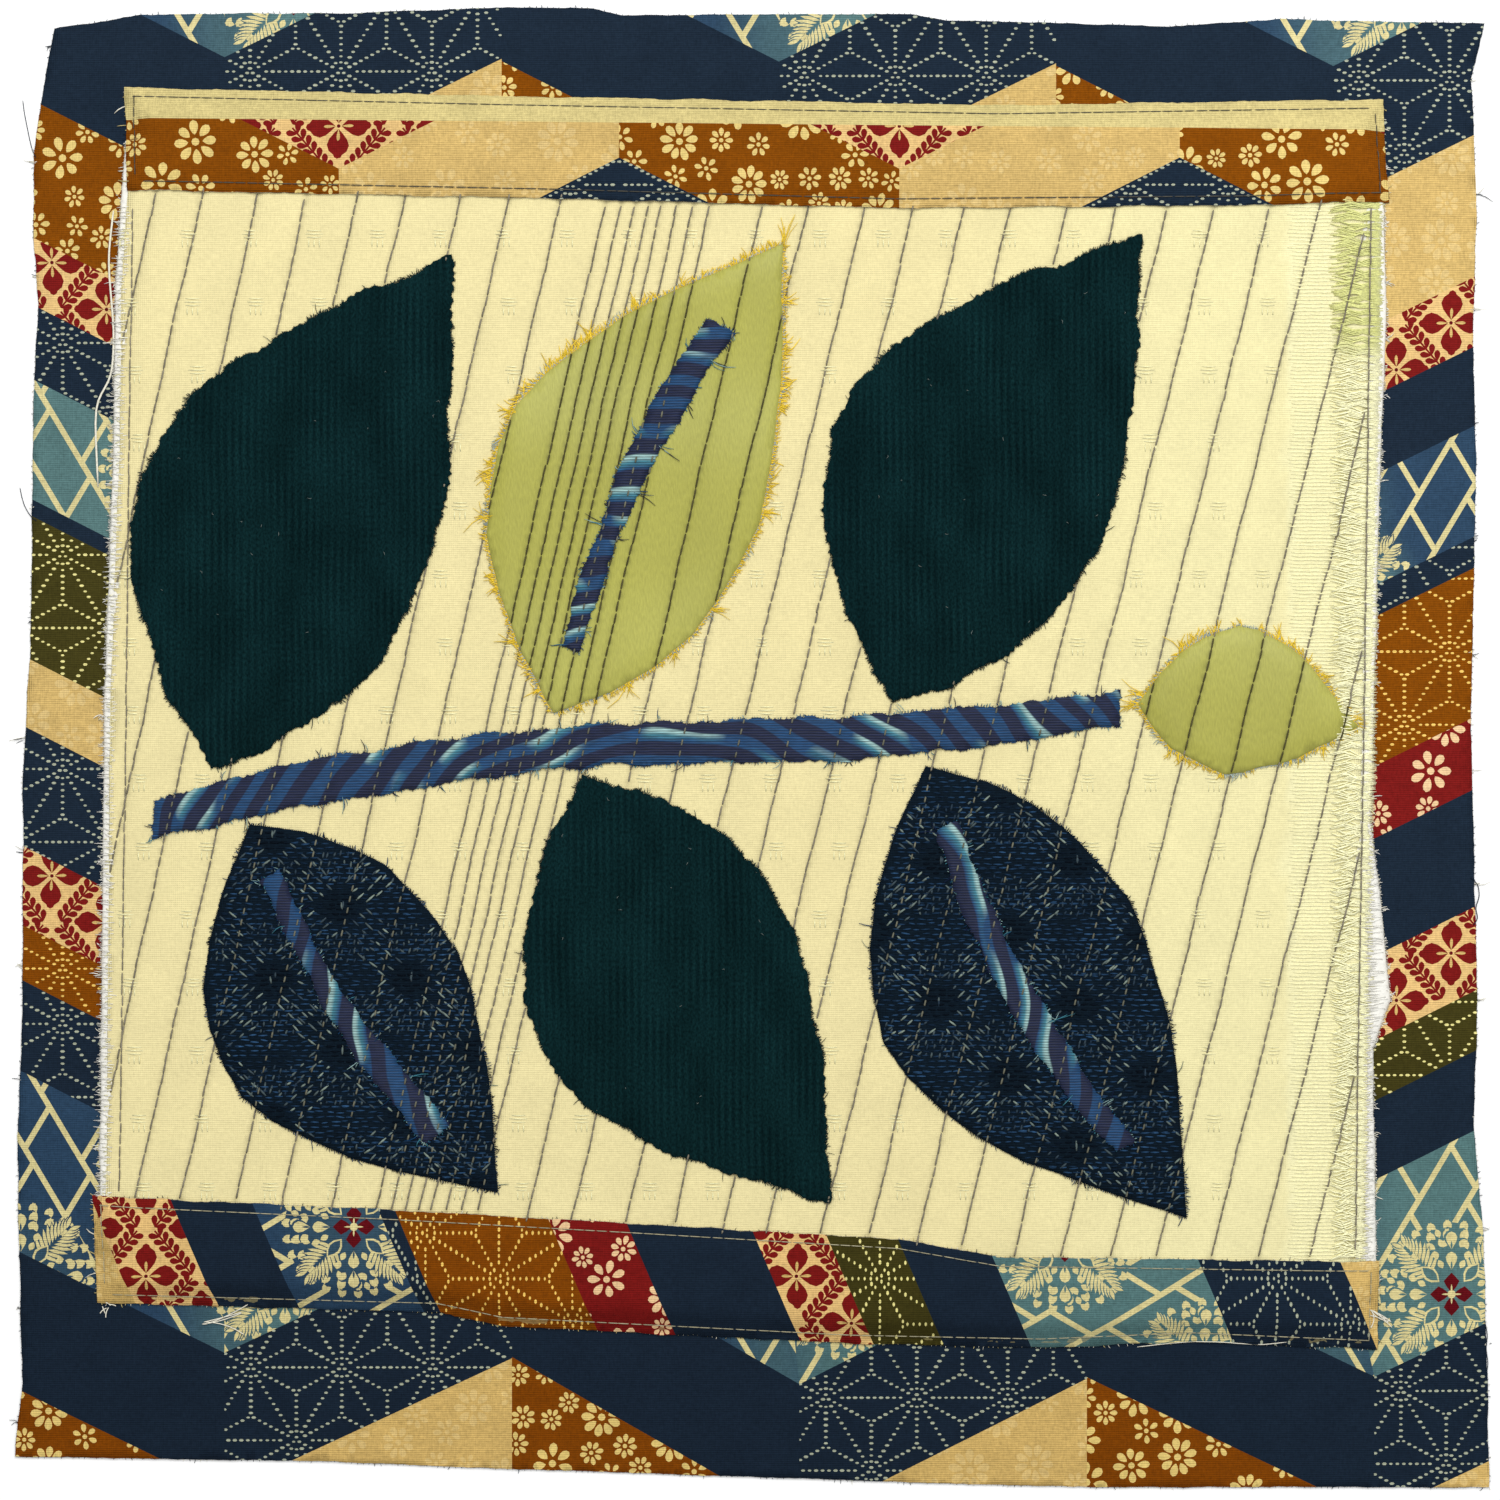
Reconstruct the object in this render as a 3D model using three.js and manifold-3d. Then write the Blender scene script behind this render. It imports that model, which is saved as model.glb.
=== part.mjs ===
// Small square art quilt with raw edges, lying face up.
// Millimetres, +Z up, the underside on z = 0, the quilt's top edge toward +Y.
import * as THREE from "three";
import { mergeVertices } from "three/addons/utils/BufferGeometryUtils.js";
import Module from "manifold-3d";

const wasm = await Module();
wasm.setup();

// Layers of cloth, from the table upward
const CLOTH_GAP = 0.3;
const BASE_THICKNESS = 1.0;
const BATTING_THICKNESS = 1.0;
const PANEL_THICKNESS = 1.2;
const PATCH_THICKNESS = 1.2;
const RIB_THICKNESS = 1.0;
const BATTING_LEVEL = BASE_THICKNESS + CLOTH_GAP;
const PANEL_LEVEL = BATTING_LEVEL + BATTING_THICKNESS + CLOTH_GAP;
const PATCH_LEVEL = PANEL_LEVEL + PANEL_THICKNESS + CLOTH_GAP;
const RIB_LEVEL = PATCH_LEVEL + PATCH_THICKNESS + CLOTH_GAP;

// Quilting: rows of stitches that lean to the right and draw the cloth down
const QUILT_PITCHES = [10.5, 9.5, 11.5, 10.0];
const QUILT_REACH = 190;
const QUILT_LEAN = 0.235;
const QUILT_FAN = 0.00012;
const QUILT_SHOULDER = 2.2;
const QUILT_DEPTH = 0.3;
const SHOULDER_SHARE = 0.15;

// Raw-cut edges of the printed base cloth
const BASE_TOP = [
  { x: -145.0, y: 149.4 },
  { x: -127.0, y: 152.3 },
  { x: -86.0, y: 152.6 },
  { x: -52.0, y: 153.8 },
  { x: -33.0, y: 153.6 },
  { x: -27.0, y: 152.1 },
  { x: 33.0, y: 152.5 },
  { x: 40.5, y: 151.1 },
  { x: 87.0, y: 149.8 },
  { x: 110.0, y: 151.3 },
  { x: 152.2, y: 150.4 },
];
const BASE_RIGHT = [
  { x: 149.6, y: 139.0 },
  { x: 150.6, y: 112.5 },
  { x: 149.9, y: 85.5 },
  { x: 150.6, y: 60.0 },
  { x: 149.4, y: 3.5 },
  { x: 150.9, y: -52.5 },
  { x: 150.0, y: -79.0 },
  { x: 152.1, y: -101.5 },
  { x: 152.9, y: -135.0 },
  { x: 153.2, y: -153.8 },
];
const BASE_BOTTOM = [
  { x: 70.5, y: -153.8 },
  { x: 28.0, y: -152.7 },
  { x: -6.5, y: -151.5 },
  { x: -52.0, y: -150.0 },
  { x: -94.0, y: -148.4 },
  { x: -153.2, y: -147.5 },
];
const BASE_LEFT = [
  { x: -151.7, y: -132.0 },
  { x: -152.7, y: -82.0 },
  { x: -151.6, y: -52.5 },
  { x: -151.5, y: -5.0 },
  { x: -150.1, y: 18.5 },
  { x: -149.2, y: 76.5 },
  { x: -148.3, y: 92.0 },
  { x: -149.3, y: 106.0 },
  { x: -149.2, y: 124.0 },
  { x: -147.7, y: 135.0 },
];

// Sides of the white batting, which shows past the cream panel, and its ends, under the two strips
const BATTING_LEFT = [
  { x: -136.0, y: -112.5 },
  { x: -135.4, y: -91.0 },
  { x: -134.9, y: -28.0 },
  { x: -134.5, y: 11.5 },
  { x: -132.6, y: 62.5 },
  { x: -132.2, y: 95.5 },
  { x: -130.2, y: 135.0 },
];
const BATTING_RIGHT = [
  { x: 131.0, y: 132.5 },
  { x: 131.8, y: 89.0 },
  { x: 130.3, y: 51.5 },
  { x: 128.9, y: -1.5 },
  { x: 128.4, y: -15.0 },
  { x: 130.1, y: -28.0 },
  { x: 132.6, y: -52.5 },
  { x: 129.0, y: -62.5 },
  { x: 129.8, y: -121.5 },
];
const BATTING_BOTTOM = [
  { x: 60.0, y: -122.0 },
  { x: -16.0, y: -119.5 },
];

// Frayed sides of the cream panel, a little in from the batting's
const PANEL_LEFT_MARGIN = 1.5;
const PANEL_RIGHT = [
  { x: 127.6, y: 132.5 },
  { x: 128.3, y: 89.0 },
  { x: 127.4, y: 51.5 },
  { x: 126.5, y: -1.5 },
  { x: 126.2, y: -18.0 },
  { x: 127.8, y: -45.0 },
  { x: 127.0, y: -121.5 },
];

// Printed strips along the top and the bottom of the panel
const TOP_STRIP_UPPER = [
  { x: -130.3, y: 137.0 },
  { x: -52.0, y: 135.2 },
  { x: 51.5, y: 133.3 },
  { x: 131.1, y: 134.5 },
];
const TOP_STRIP_LOWER = [
  { x: 132.3, y: 113.1 },
  { x: 102.0, y: 112.2 },
  { x: 29.5, y: 111.6 },
  { x: -45.0, y: 113.7 },
  { x: -129.6, y: 115.4 },
];
const BOTTOM_STRIP_UPPER = [
  { x: -137.0, y: -93.0 },
  { x: -74.0, y: -95.9 },
  { x: -25.5, y: -98.6 },
  { x: 30.5, y: -101.9 },
  { x: 51.5, y: -105.6 },
  { x: 130.2, y: -106.7 },
];
const BOTTOM_STRIP_LOWER = [
  { x: 129.9, y: -125.1 },
  { x: 91.0, y: -123.4 },
  { x: 60.0, y: -124.7 },
  { x: 20.5, y: -123.9 },
  { x: -52.0, y: -120.2 },
  { x: -65.5, y: -117.3 },
  { x: -136.0, y: -115.4 },
];

// Torn branch strip, as the middle of the strip and its width there
const BRANCH = [
  { x: -124.0, y: -15.0, width: 8.0 },
  { x: -84.0, y: -6.0, width: 9.5 },
  { x: -30.0, y: 0.5, width: 8.5 },
  { x: 24.0, y: 2.0, width: 9.0 },
  { x: 76.0, y: 8.0, width: 7.0 },
];
const BRANCH_STEPS = 4;

// Cut leaves: foot, length, width, heading in degrees, sideways bend, and length of the torn rib laid on it
const LEAVES = [
  { name: "cord_leaf_1", x: -112, y: -4.5, length: 117, width: 62, heading: 65, bend: 8, rib: 0 },
  { name: "satin_leaf_1", x: -41, y: 7, length: 108, width: 56, heading: 64, bend: 7, rib: 74 },
  { name: "cord_leaf_2", x: 29, y: 9, length: 110, width: 60, heading: 62, bend: 8, rib: 0 },
  { name: "indigo_leaf_1", x: -104, y: -16, length: 92, width: 54, heading: -56, bend: -6, rib: 64 },
  { name: "cord_leaf_3", x: -35, y: -6, length: 102, width: 58, heading: -60, bend: -7, rib: 0 },
  { name: "indigo_leaf_2", x: 36, y: -4, length: 108, width: 58, heading: -60, bend: -7, rib: 76 },
  { name: "satin_leaf_2", x: 80, y: 9, length: 46, width: 30, heading: -6, bend: 3, rib: 0 },
];
const LEAF_STEPS = 12;
const LEAF_BELLY = 0.84;
const LEAF_WAVE = 0.5;
const LEAF_WAVES = 7;
const RIB_WIDTH = 5.5;
const RIB_FOOT = 0.12;
const RIB_STEPS = 8;

const CLOTHS = {
  print: { color: 0x1b263e, roughness: 0.9, metalness: 0 },
  fleece: { color: 0xf2f0ea, roughness: 1, metalness: 0 },
  cream: { color: 0xf5e4a5, roughness: 0.85, metalness: 0 },
  strip: { color: 0xa55a0a, roughness: 0.9, metalness: 0 },
  silk: { color: 0x23508c, roughness: 0.5, metalness: 0 },
  cord: { color: 0x0a3235, roughness: 1, metalness: 0 },
  satin: { color: 0xb8ba4c, roughness: 0.45, metalness: 0 },
  indigo: { color: 0x16233f, roughness: 0.95, metalness: 0 },
};

const quilt = new THREE.Group();

// Turns a geometry into a solid that can be cut
function solidOf(geometry) {
  geometry.deleteAttribute("normal");
  geometry.deleteAttribute("uv");
  const merged = mergeVertices(geometry);
  const vertProperties = Float32Array.from(merged.attributes.position.array);
  const triVerts = Uint32Array.from(merged.index.array);
  return new wasm.Manifold(new wasm.Mesh({ numProp: 3, vertProperties, triVerts }));
}

// Turns a cut solid back into a geometry
function geometryOf(solid) {
  const mesh = solid.getMesh();
  const geometry = new THREE.BufferGeometry();
  geometry.setAttribute("position", new THREE.BufferAttribute(mesh.vertProperties, mesh.numProp));
  geometry.setIndex(new THREE.BufferAttribute(mesh.triVerts, 1));
  geometry.computeVertexNormals();
  return geometry;
}

// A flat sheet of cloth with the given outline
function sheet(outline, thickness) {
  const shape = new THREE.Shape(outline.map((point) => new THREE.Vector2(point.x, point.y)));
  return new THREE.ExtrudeGeometry(shape, { depth: thickness, bevelEnabled: false });
}

// The quilting rows' places where they cross the middle of the quilt
function quiltRows() {
  const rows = [];
  let x = -QUILT_REACH;
  while (x < QUILT_REACH) {
    rows.push(x);
    x += QUILT_PITCHES[rows.length % QUILT_PITCHES.length];
  }
  return rows;
}

// A wide slab of cloth that is drawn down along every quilting row, with a flat underside
function quiltedSlab(thickness) {
  const profile = new THREE.Shape();
  const edge = QUILT_REACH + QUILT_PITCHES[0];
  profile.moveTo(-edge, 0);
  profile.lineTo(edge, 0);
  profile.lineTo(edge, thickness);
  for (const row of quiltRows().reverse()) {
    profile.lineTo(row + QUILT_SHOULDER * 2, thickness);
    profile.lineTo(row + QUILT_SHOULDER, thickness - QUILT_DEPTH * SHOULDER_SHARE);
    profile.lineTo(row, thickness - QUILT_DEPTH);
    profile.lineTo(row - QUILT_SHOULDER, thickness - QUILT_DEPTH * SHOULDER_SHARE);
    profile.lineTo(row - QUILT_SHOULDER * 2, thickness);
  }
  profile.lineTo(-edge, thickness);
  const slab = new THREE.ExtrudeGeometry(profile, { depth: 2 * QUILT_REACH, bevelEnabled: false });
  slab.rotateX(Math.PI / 2);
  slab.translate(0, QUILT_REACH, 0);
  const places = slab.attributes.position;
  for (let i = 0; i < places.count; i += 1) {
    const row = places.getX(i);
    places.setX(i, row + (QUILT_LEAN + QUILT_FAN * row) * places.getY(i));
  }
  return slab;
}

// A piece of cloth with the given outline and the quilting drawn into its face
function quiltedSheet(outline, thickness) {
  const slab = solidOf(quiltedSlab(thickness));
  return geometryOf(slab.intersect(solidOf(sheet(outline, thickness))));
}

// A smooth line through the rows of a table, shifted across by a share of each row's width
function stripEdge(table, side) {
  const points = table.map((row) => new THREE.Vector2(row.x, row.y + side * row.width / 2));
  return new THREE.SplineCurve(points).getPoints(BRANCH_STEPS * (table.length - 1));
}

// A torn strip along the middle line of a table
function stripOutline(table) {
  return [...stripEdge(table, -1), ...stripEdge(table, 1).reverse()];
}

// A place on a leaf, at a share of its length and a distance across its bent middle line
function leafPlace(leaf, share, across) {
  const bent = across + leaf.bend * Math.sin(Math.PI * share);
  const place = new THREE.Vector2(leaf.length * share, bent);
  place.rotateAround(new THREE.Vector2(0, 0), THREE.MathUtils.degToRad(leaf.heading));
  return place.add(new THREE.Vector2(leaf.x, leaf.y));
}

// Half the leaf's width at a share of its length, with the small waves of a hand cut
function leafHalfWidth(leaf, share) {
  const body = Math.sin(Math.PI * share ** LEAF_BELLY);
  return body * (leaf.width / 2 + LEAF_WAVE * Math.sin(LEAF_WAVES * Math.PI * share + leaf.x));
}

function leafOutline(leaf) {
  const outline = [];
  for (let step = 0; step < LEAF_STEPS; step += 1) {
    const share = step / LEAF_STEPS;
    outline.push(leafPlace(leaf, share, -leafHalfWidth(leaf, share)));
  }
  for (let step = LEAF_STEPS; step > 0; step -= 1) {
    const share = step / LEAF_STEPS;
    outline.push(leafPlace(leaf, share, leafHalfWidth(leaf, share)));
  }
  return outline;
}

// A torn strip along the middle of a leaf, a little uneven in width
function ribOutline(leaf) {
  const lower = [];
  const upper = [];
  for (let step = 0; step <= RIB_STEPS; step += 1) {
    const share = RIB_FOOT + (leaf.rib / leaf.length) * (step / RIB_STEPS);
    const half = RIB_WIDTH / 2 + LEAF_WAVE * Math.sin(LEAF_WAVES * share + leaf.x);
    lower.push(leafPlace(leaf, share, -half));
    upper.push(leafPlace(leaf, share, half));
  }
  return [...lower, ...upper.reverse()];
}

function addPiece(name, cloth, geometry, level) {
  const mesh = new THREE.Mesh(geometry, new THREE.MeshStandardMaterial(CLOTHS[cloth]));
  mesh.name = name;
  mesh.position.z = level;
  quilt.add(mesh);
}

// Printed base cloth
const baseOutline = [...BASE_TOP, ...BASE_RIGHT, ...BASE_BOTTOM, ...BASE_LEFT];
addPiece("base_cloth", "print", sheet(baseOutline, BASE_THICKNESS), 0);

// White batting under the panel
const battingOutline = [...BATTING_LEFT, ...BATTING_RIGHT, ...BATTING_BOTTOM];
addPiece("batting", "fleece", sheet(battingOutline, BATTING_THICKNESS), BATTING_LEVEL);

// Cream panel, quilted all over
const panelLeft = BATTING_LEFT.map((row) => ({ x: row.x + PANEL_LEFT_MARGIN, y: row.y }));
const panelOutline = [...panelLeft, ...PANEL_RIGHT, ...BATTING_BOTTOM];
addPiece("cream_panel", "cream", quiltedSheet(panelOutline, PANEL_THICKNESS), PANEL_LEVEL);

// Printed strips, stitched flat over the ends of the panel
const topStrip = sheet([...TOP_STRIP_UPPER, ...TOP_STRIP_LOWER], PATCH_THICKNESS);
addPiece("top_strip", "strip", topStrip, PATCH_LEVEL);
const bottomStrip = sheet([...BOTTOM_STRIP_UPPER, ...BOTTOM_STRIP_LOWER], PATCH_THICKNESS);
addPiece("bottom_strip", "strip", bottomStrip, PATCH_LEVEL);

// Branch with its leaves, quilted but for those of corduroy, and the ribs that lie on some of them
addPiece("branch_strip", "silk", quiltedSheet(stripOutline(BRANCH), PATCH_THICKNESS), PATCH_LEVEL);
for (const leaf of LEAVES) {
  const cloth = leaf.name.split("_")[0];
  const cut = cloth === "cord" ? sheet : quiltedSheet;
  addPiece(leaf.name, cloth, cut(leafOutline(leaf), PATCH_THICKNESS), PATCH_LEVEL);
  if (leaf.rib > 0) {
    addPiece(`${leaf.name}_rib`, "silk", quiltedSheet(ribOutline(leaf), RIB_THICKNESS), RIB_LEVEL);
  }
}

export default quilt;
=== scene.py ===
import math

import bpy
import numpy as np
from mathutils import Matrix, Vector
from mathutils.geometry import delaunay_2d_cdt


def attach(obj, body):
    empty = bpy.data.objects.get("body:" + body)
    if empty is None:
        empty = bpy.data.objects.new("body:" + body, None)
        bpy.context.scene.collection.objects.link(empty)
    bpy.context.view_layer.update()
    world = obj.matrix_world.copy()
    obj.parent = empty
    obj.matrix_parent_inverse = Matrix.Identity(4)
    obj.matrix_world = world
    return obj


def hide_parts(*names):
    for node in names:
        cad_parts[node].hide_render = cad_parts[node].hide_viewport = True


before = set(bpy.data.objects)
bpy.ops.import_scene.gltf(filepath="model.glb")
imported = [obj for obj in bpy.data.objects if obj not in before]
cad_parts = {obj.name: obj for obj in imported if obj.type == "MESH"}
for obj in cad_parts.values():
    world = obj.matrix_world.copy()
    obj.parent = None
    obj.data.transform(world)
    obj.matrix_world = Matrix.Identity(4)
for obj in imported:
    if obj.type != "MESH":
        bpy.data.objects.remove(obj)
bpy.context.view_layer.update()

# Lengths are in millimetres until a mesh is made
MM = 0.001
FULL_TURN = 2 * math.pi
FILL_EPSILON = 1e-4


# Colours, as they show on a screen under the light at the middle of the quilt
LIGHT_LEVEL = 1.18


def tint(red, green, blue):
    """Linear colour of an 8-bit screen colour."""
    steps = np.array([red, green, blue]) / 255
    linear = np.where(steps <= 0.04045, steps / 12.92, ((steps + 0.055) / 1.055) ** 2.4)
    return linear / LIGHT_LEVEL


NAVY = tint(28, 41, 56)
PEACH = tint(210, 178, 110)
PEACH_PALE = tint(219, 190, 126)
BLOSSOM_GROUND = tint(227, 190, 126)
OCHRE = tint(130, 70, 5)
RED = tint(124, 26, 24)
RED_DARK = tint(98, 16, 24)
MOTIF_CREAM = tint(216, 204, 148)
DOT_ON_NAVY = tint(172, 178, 156)
DOT_ON_OLIVE = tint(232, 223, 148)
DOT_ON_OCHRE = tint(242, 202, 106)
DAISY_GOLD = tint(226, 200, 124)
DAISY_ROSE = tint(234, 198, 151)
BLUE = tint(46, 70, 94)
TEAL = tint(88, 121, 121)
OLIVE = tint(66, 61, 24)
SELVEDGE = tint(208, 192, 130)
WHITE_THREAD = tint(236, 232, 214)
FLEECE_WHITE = tint(252, 250, 241)
CREAM = tint(238, 225, 169)
CREAM_FAR = tint(242, 233, 178)
CREAM_LIGHT = tint(247, 241, 190)
RAVEL_CREAM = 1.1 * tint(255, 252, 206)
RAVEL_YELLOW = tint(236, 237, 158)
# The two corduroy colours also give the painted shade between its ridges and the painted highlight on them
CORD_LOW = tint(6, 26, 29)
CORD_HIGH = tint(12, 39, 41)
CORD_FUZZ = tint(16, 50, 52)
LIME = tint(167, 165, 74)
# Pale lime is laid in patches on the satin as a painted sheen
LIME_PAINTED_SHEEN = tint(190, 190, 110)
FRAY_YELLOW = tint(250, 214, 66)
FRAY_PALE_BLUE = tint(176, 192, 186)
INDIGO = tint(11, 24, 35)
INDIGO_BLUE = tint(38, 67, 98)
INDIGO_PALE = tint(134, 146, 126)
SILK_BLUE = tint(23, 64, 104)
SILK_NIGHT = tint(22, 31, 60)
SILK_AQUA = tint(62, 122, 138)
SILK_PALE = tint(142, 176, 174)
THREAD_GREY = tint(138, 131, 113)
THREAD_PALE = tint(178, 172, 142)
THREAD_DIM = tint(112, 112, 96)
THREAD_OLIVE = tint(84, 80, 50)
THREAD_DARK = tint(84, 82, 74)
FLOOR_WHITE = (0.95, 0.95, 0.945)


# Loops of points in plan
UNDERSIDE = 0.02
EDGE_SPAN = 14
EDGE_JITTER = 0.5
GRID_RISE = 0.866
FAR_AWAY = 1e9
RIPPLE_WAVES = 6
RIPPLE_SPANS = (0.6, 1.6)
RIPPLE_FULL = 4


def loop_of(node):
    """Outline of the node's underside, anticlockwise from above."""
    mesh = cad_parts[node].data
    places = np.array([corner.co for corner in mesh.vertices]) / MM
    low = places[:, 2].min() + UNDERSIDE
    keys = [tuple(place) for place in places[:, :2].round(3)]
    sides = set()
    for face in mesh.polygons:
        corners = list(face.vertices)
        if all(places[corner, 2] < low for corner in corners):
            sides.update((keys[a], keys[b]) for a, b in zip(corners, corners[1:] + corners[:1]))
    following = {b: a for a, b in sides if (b, a) not in sides}
    loop = [min(following)]
    while following[loop[-1]] != loop[0]:
        loop.append(following[loop[-1]])
    return np.array(loop)


def spaced(loop, step):
    """The loop again, with points about one step apart."""
    points = []
    for a, b in zip(loop, np.roll(loop, -1, axis=0)):
        count = max(1, round(math.dist(a, b) / step))
        points.extend(a + (b - a) * share for share in np.arange(count) / count)
    return np.array(points)


def outward(loop):
    """Outward directions at the points of a loop."""
    along = np.roll(loop, -1, axis=0) - np.roll(loop, 1, axis=0)
    side = np.column_stack([along[:, 1], -along[:, 0]])
    return side / np.linalg.norm(side, axis=1)[:, None]


def cut_edge(loop, step, wander, seed):
    """The loop with the small unevenness of a cut or torn edge."""
    points = spaced(loop, step)
    draw = np.random.default_rng(seed)
    drift = wander * ripple(*points.T, EDGE_SPAN, seed)
    drift += wander * EDGE_JITTER * draw.uniform(-1, 1, len(points))
    return points + outward(points) * drift[:, None]


def loop_area(loop):
    """Area inside an anticlockwise loop."""
    after = np.roll(loop, -1, axis=0)
    return 0.5 * np.sum(loop[:, 0] * after[:, 1] - after[:, 0] * loop[:, 1])


def anticlockwise(shape):
    """The same shape with its points in anticlockwise order."""
    shape = np.asarray(shape, float)
    return shape if loop_area(shape) > 0 else shape[::-1]


def edge_gap(x, y, loop):
    """Distance of each place to the nearest edge of the loop."""
    nearest = np.full(np.shape(x), FAR_AWAY)
    for a, b in zip(loop, np.roll(loop, -1, axis=0)):
        along = b - a
        share = ((x - a[0]) * along[0] + (y - a[1]) * along[1]) / (along @ along)
        share = np.clip(share, 0, 1)
        gap = np.hypot(x - a[0] - share * along[0], y - a[1] - share * along[1])
        nearest = np.minimum(nearest, gap)
    return nearest


def within(x, y, loop):
    """Which places are inside the loop."""
    inside = np.zeros(np.shape(x), bool)
    for a, b in zip(loop, np.roll(loop, -1, axis=0)):
        if a[1] != b[1]:
            crosses = (a[1] > y) != (b[1] > y)
            inside ^= crosses & (x < a[0] + (y - a[1]) * (b[0] - a[0]) / (b[1] - a[1]))
    return inside


def ease(value):
    """Soft step from 0 to 1."""
    share = np.clip(value, 0, 1)
    return share * share * (3 - 2 * share)


def bell(gap, width):
    """1 at no gap, falling softly to 0 beyond the width."""
    return np.exp(-((gap / width) ** 2))


def blend(first, second, share):
    """Colours between two, by a share for each place."""
    share = share[:, None]
    return first * (1 - share) + second * share


def rise(x, y, loop, reach):
    """0 at the loop's edge and outside it, 1 from the reach inwards."""
    return np.where(within(x, y, loop), ease(edge_gap(x, y, loop) / reach), 0)


def ripple(x, y, span, seed):
    """Smooth uneven field between about -1 and 1."""
    draw = np.random.default_rng(seed)
    total = np.zeros(np.shape(x))
    for _ in range(RIPPLE_WAVES):
        heading, phase = draw.uniform(0, FULL_TURN, 2)
        length = span * draw.uniform(*RIPPLE_SPANS)
        total += np.sin((x * math.cos(heading) + y * math.sin(heading)) * FULL_TURN / length + phase)
    return total / RIPPLE_FULL


def mesh_points(loop, step, margin=0.0):
    """Staggered grid of places over a loop."""
    low, high = loop.min(0) - margin, loop.max(0) + margin
    xs = np.arange(low[0], high[0], step)
    ys = np.arange(low[1], high[1], step * GRID_RISE)
    x, y = np.meshgrid(xs, ys)
    x[1::2] += step / 2
    return np.column_stack([x.ravel(), y.ravel()])


def inside_loop(points, loop, inset):
    """The points inside a loop, clear of its edge."""
    points = points[np.all((points > loop.min(0)) & (points < loop.max(0)), axis=1)]
    x, y = points.T
    return points[within(x, y, loop) & (edge_gap(x, y, loop) > inset)]


# The strips hide the upper and lower edges of fleece and panel
HIDDEN_LOW = (-104, -0.04)
HIDDEN_HIGH = (126, -0.009)
HIDDEN_START = -137
CUTS = {node: loop_of(node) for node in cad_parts}
LOOPS = dict(CUTS)
for node in ("batting", "cream_panel"):
    x, y = CUTS[node].T
    lower, upper = (at + slope * (x - HIDDEN_START) for at, slope in (HIDDEN_LOW, HIDDEN_HIGH))
    LOOPS[node] = np.column_stack([x, np.clip(y, lower, upper)])
RIBS = [node for node in LOOPS if node.endswith("_rib")]
CORD_LEAVES = [node for node in LOOPS if node.startswith("cord_leaf")]
SATIN_LEAVES = [node for node in LOOPS if node.startswith("satin_leaf") and node not in RIBS]
INDIGO_LEAVES = [node for node in LOOPS if node.startswith("indigo_leaf") and node not in RIBS]
STRIPS = ["top_strip", "bottom_strip"]
PATCHES = [*CORD_LEAVES, *SATIN_LEAVES, *INDIGO_LEAVES, "branch_strip"]


def covered(x, y, nodes):
    """Which places lie on any of the named cloths."""
    return np.any([within(x, y, LOOPS[node]) for node in nodes], axis=0)


# Quilting rows
ROW_PITCHES = (10.5, 9.5, 11.5, 10.0)
ROW_REACH = 190
ROW_LOW = -126
ROW_HIGH = 140
ROW_LEAN = 0.235
ROW_LEAN_GAIN = 0.00012
ROW_OFFSETS = (-3.8, -2.3, -1.15, -0.45, 0, 0.45, 1.15, 2.3, 3.8)
ROW_INSET = 0.5
CLOSE_ROWS = (-52.8, -49.9, -47.1, -41.2, -37.9)
CLOSE_OFFSETS = (-0.9, 0, 0.9)
STITCH_PITCH = 2.4
STITCH_LENGTH = 2.4

# How far the stitches pull the cloth down: depth and width of each fold
SINK_FOLD = (0.27, 0.8)
SINK_SWELL = (0.08, 2.6)
SINK_NEEDLE = (0.05, 1.5)
SINK_WAVE = (17, 5)
SINK_UNEVEN = 0.3
TROUGH_WIDTH = 0.45


def row_starts():
    """Where the quilting rows cross the middle of the quilt."""
    starts = []
    x = -ROW_REACH
    while x < ROW_REACH:
        starts.append(x)
        x += ROW_PITCHES[len(starts) % len(ROW_PITCHES)]
    return starts


def row_lean(start):
    """Sideways run of a row for each millimetre up the quilt."""
    return ROW_LEAN + ROW_LEAN_GAIN * start


ROWS = [*row_starts(), *CLOSE_ROWS]


def row_places(node, loop):
    """Places along the quilting rows and beside them, inside a cloth."""
    points = []
    ys = np.arange(ROW_LOW, ROW_HIGH, STITCH_PITCH / 2)
    for start in ROWS:
        for offset in CLOSE_OFFSETS if start in CLOSE_ROWS else ROW_OFFSETS:
            points.append(np.column_stack([start + offset + row_lean(start) * ys, ys]))
    return inside_loop(np.vstack(points), LOOPS[node], ROW_INSET)


def row_gap(x, y):
    """Distance of each place to the nearest quilting row."""
    nearest = np.full(np.shape(x), FAR_AWAY)
    for start in ROWS:
        slope = row_lean(start)
        nearest = np.minimum(nearest, np.abs(x - start - slope * y) / math.hypot(1, slope))
    return nearest


def needle(y):
    """1 where the needle goes down through the cloth, -1 between."""
    return np.cos(FULL_TURN * y / STITCH_PITCH)


def quilt_sink(x, y):
    """How far the stitches pull the cloth down."""
    gap = row_gap(x, y)
    fold, swell, pricks = (depth * bell(gap, width) for depth, width in (SINK_FOLD, SINK_SWELL, SINK_NEEDLE))
    return (fold + swell) * (1 + SINK_UNEVEN * ripple(x, y, *SINK_WAVE)) + needle(y) * pricks


def trough_light(x, y, dark, prick):
    """Light left in the stitched troughs, least where the needle goes down."""
    return 1 - (dark + prick * (0.5 + 0.5 * needle(y))) * bell(row_gap(x, y), TROUGH_WIDTH)


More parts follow.
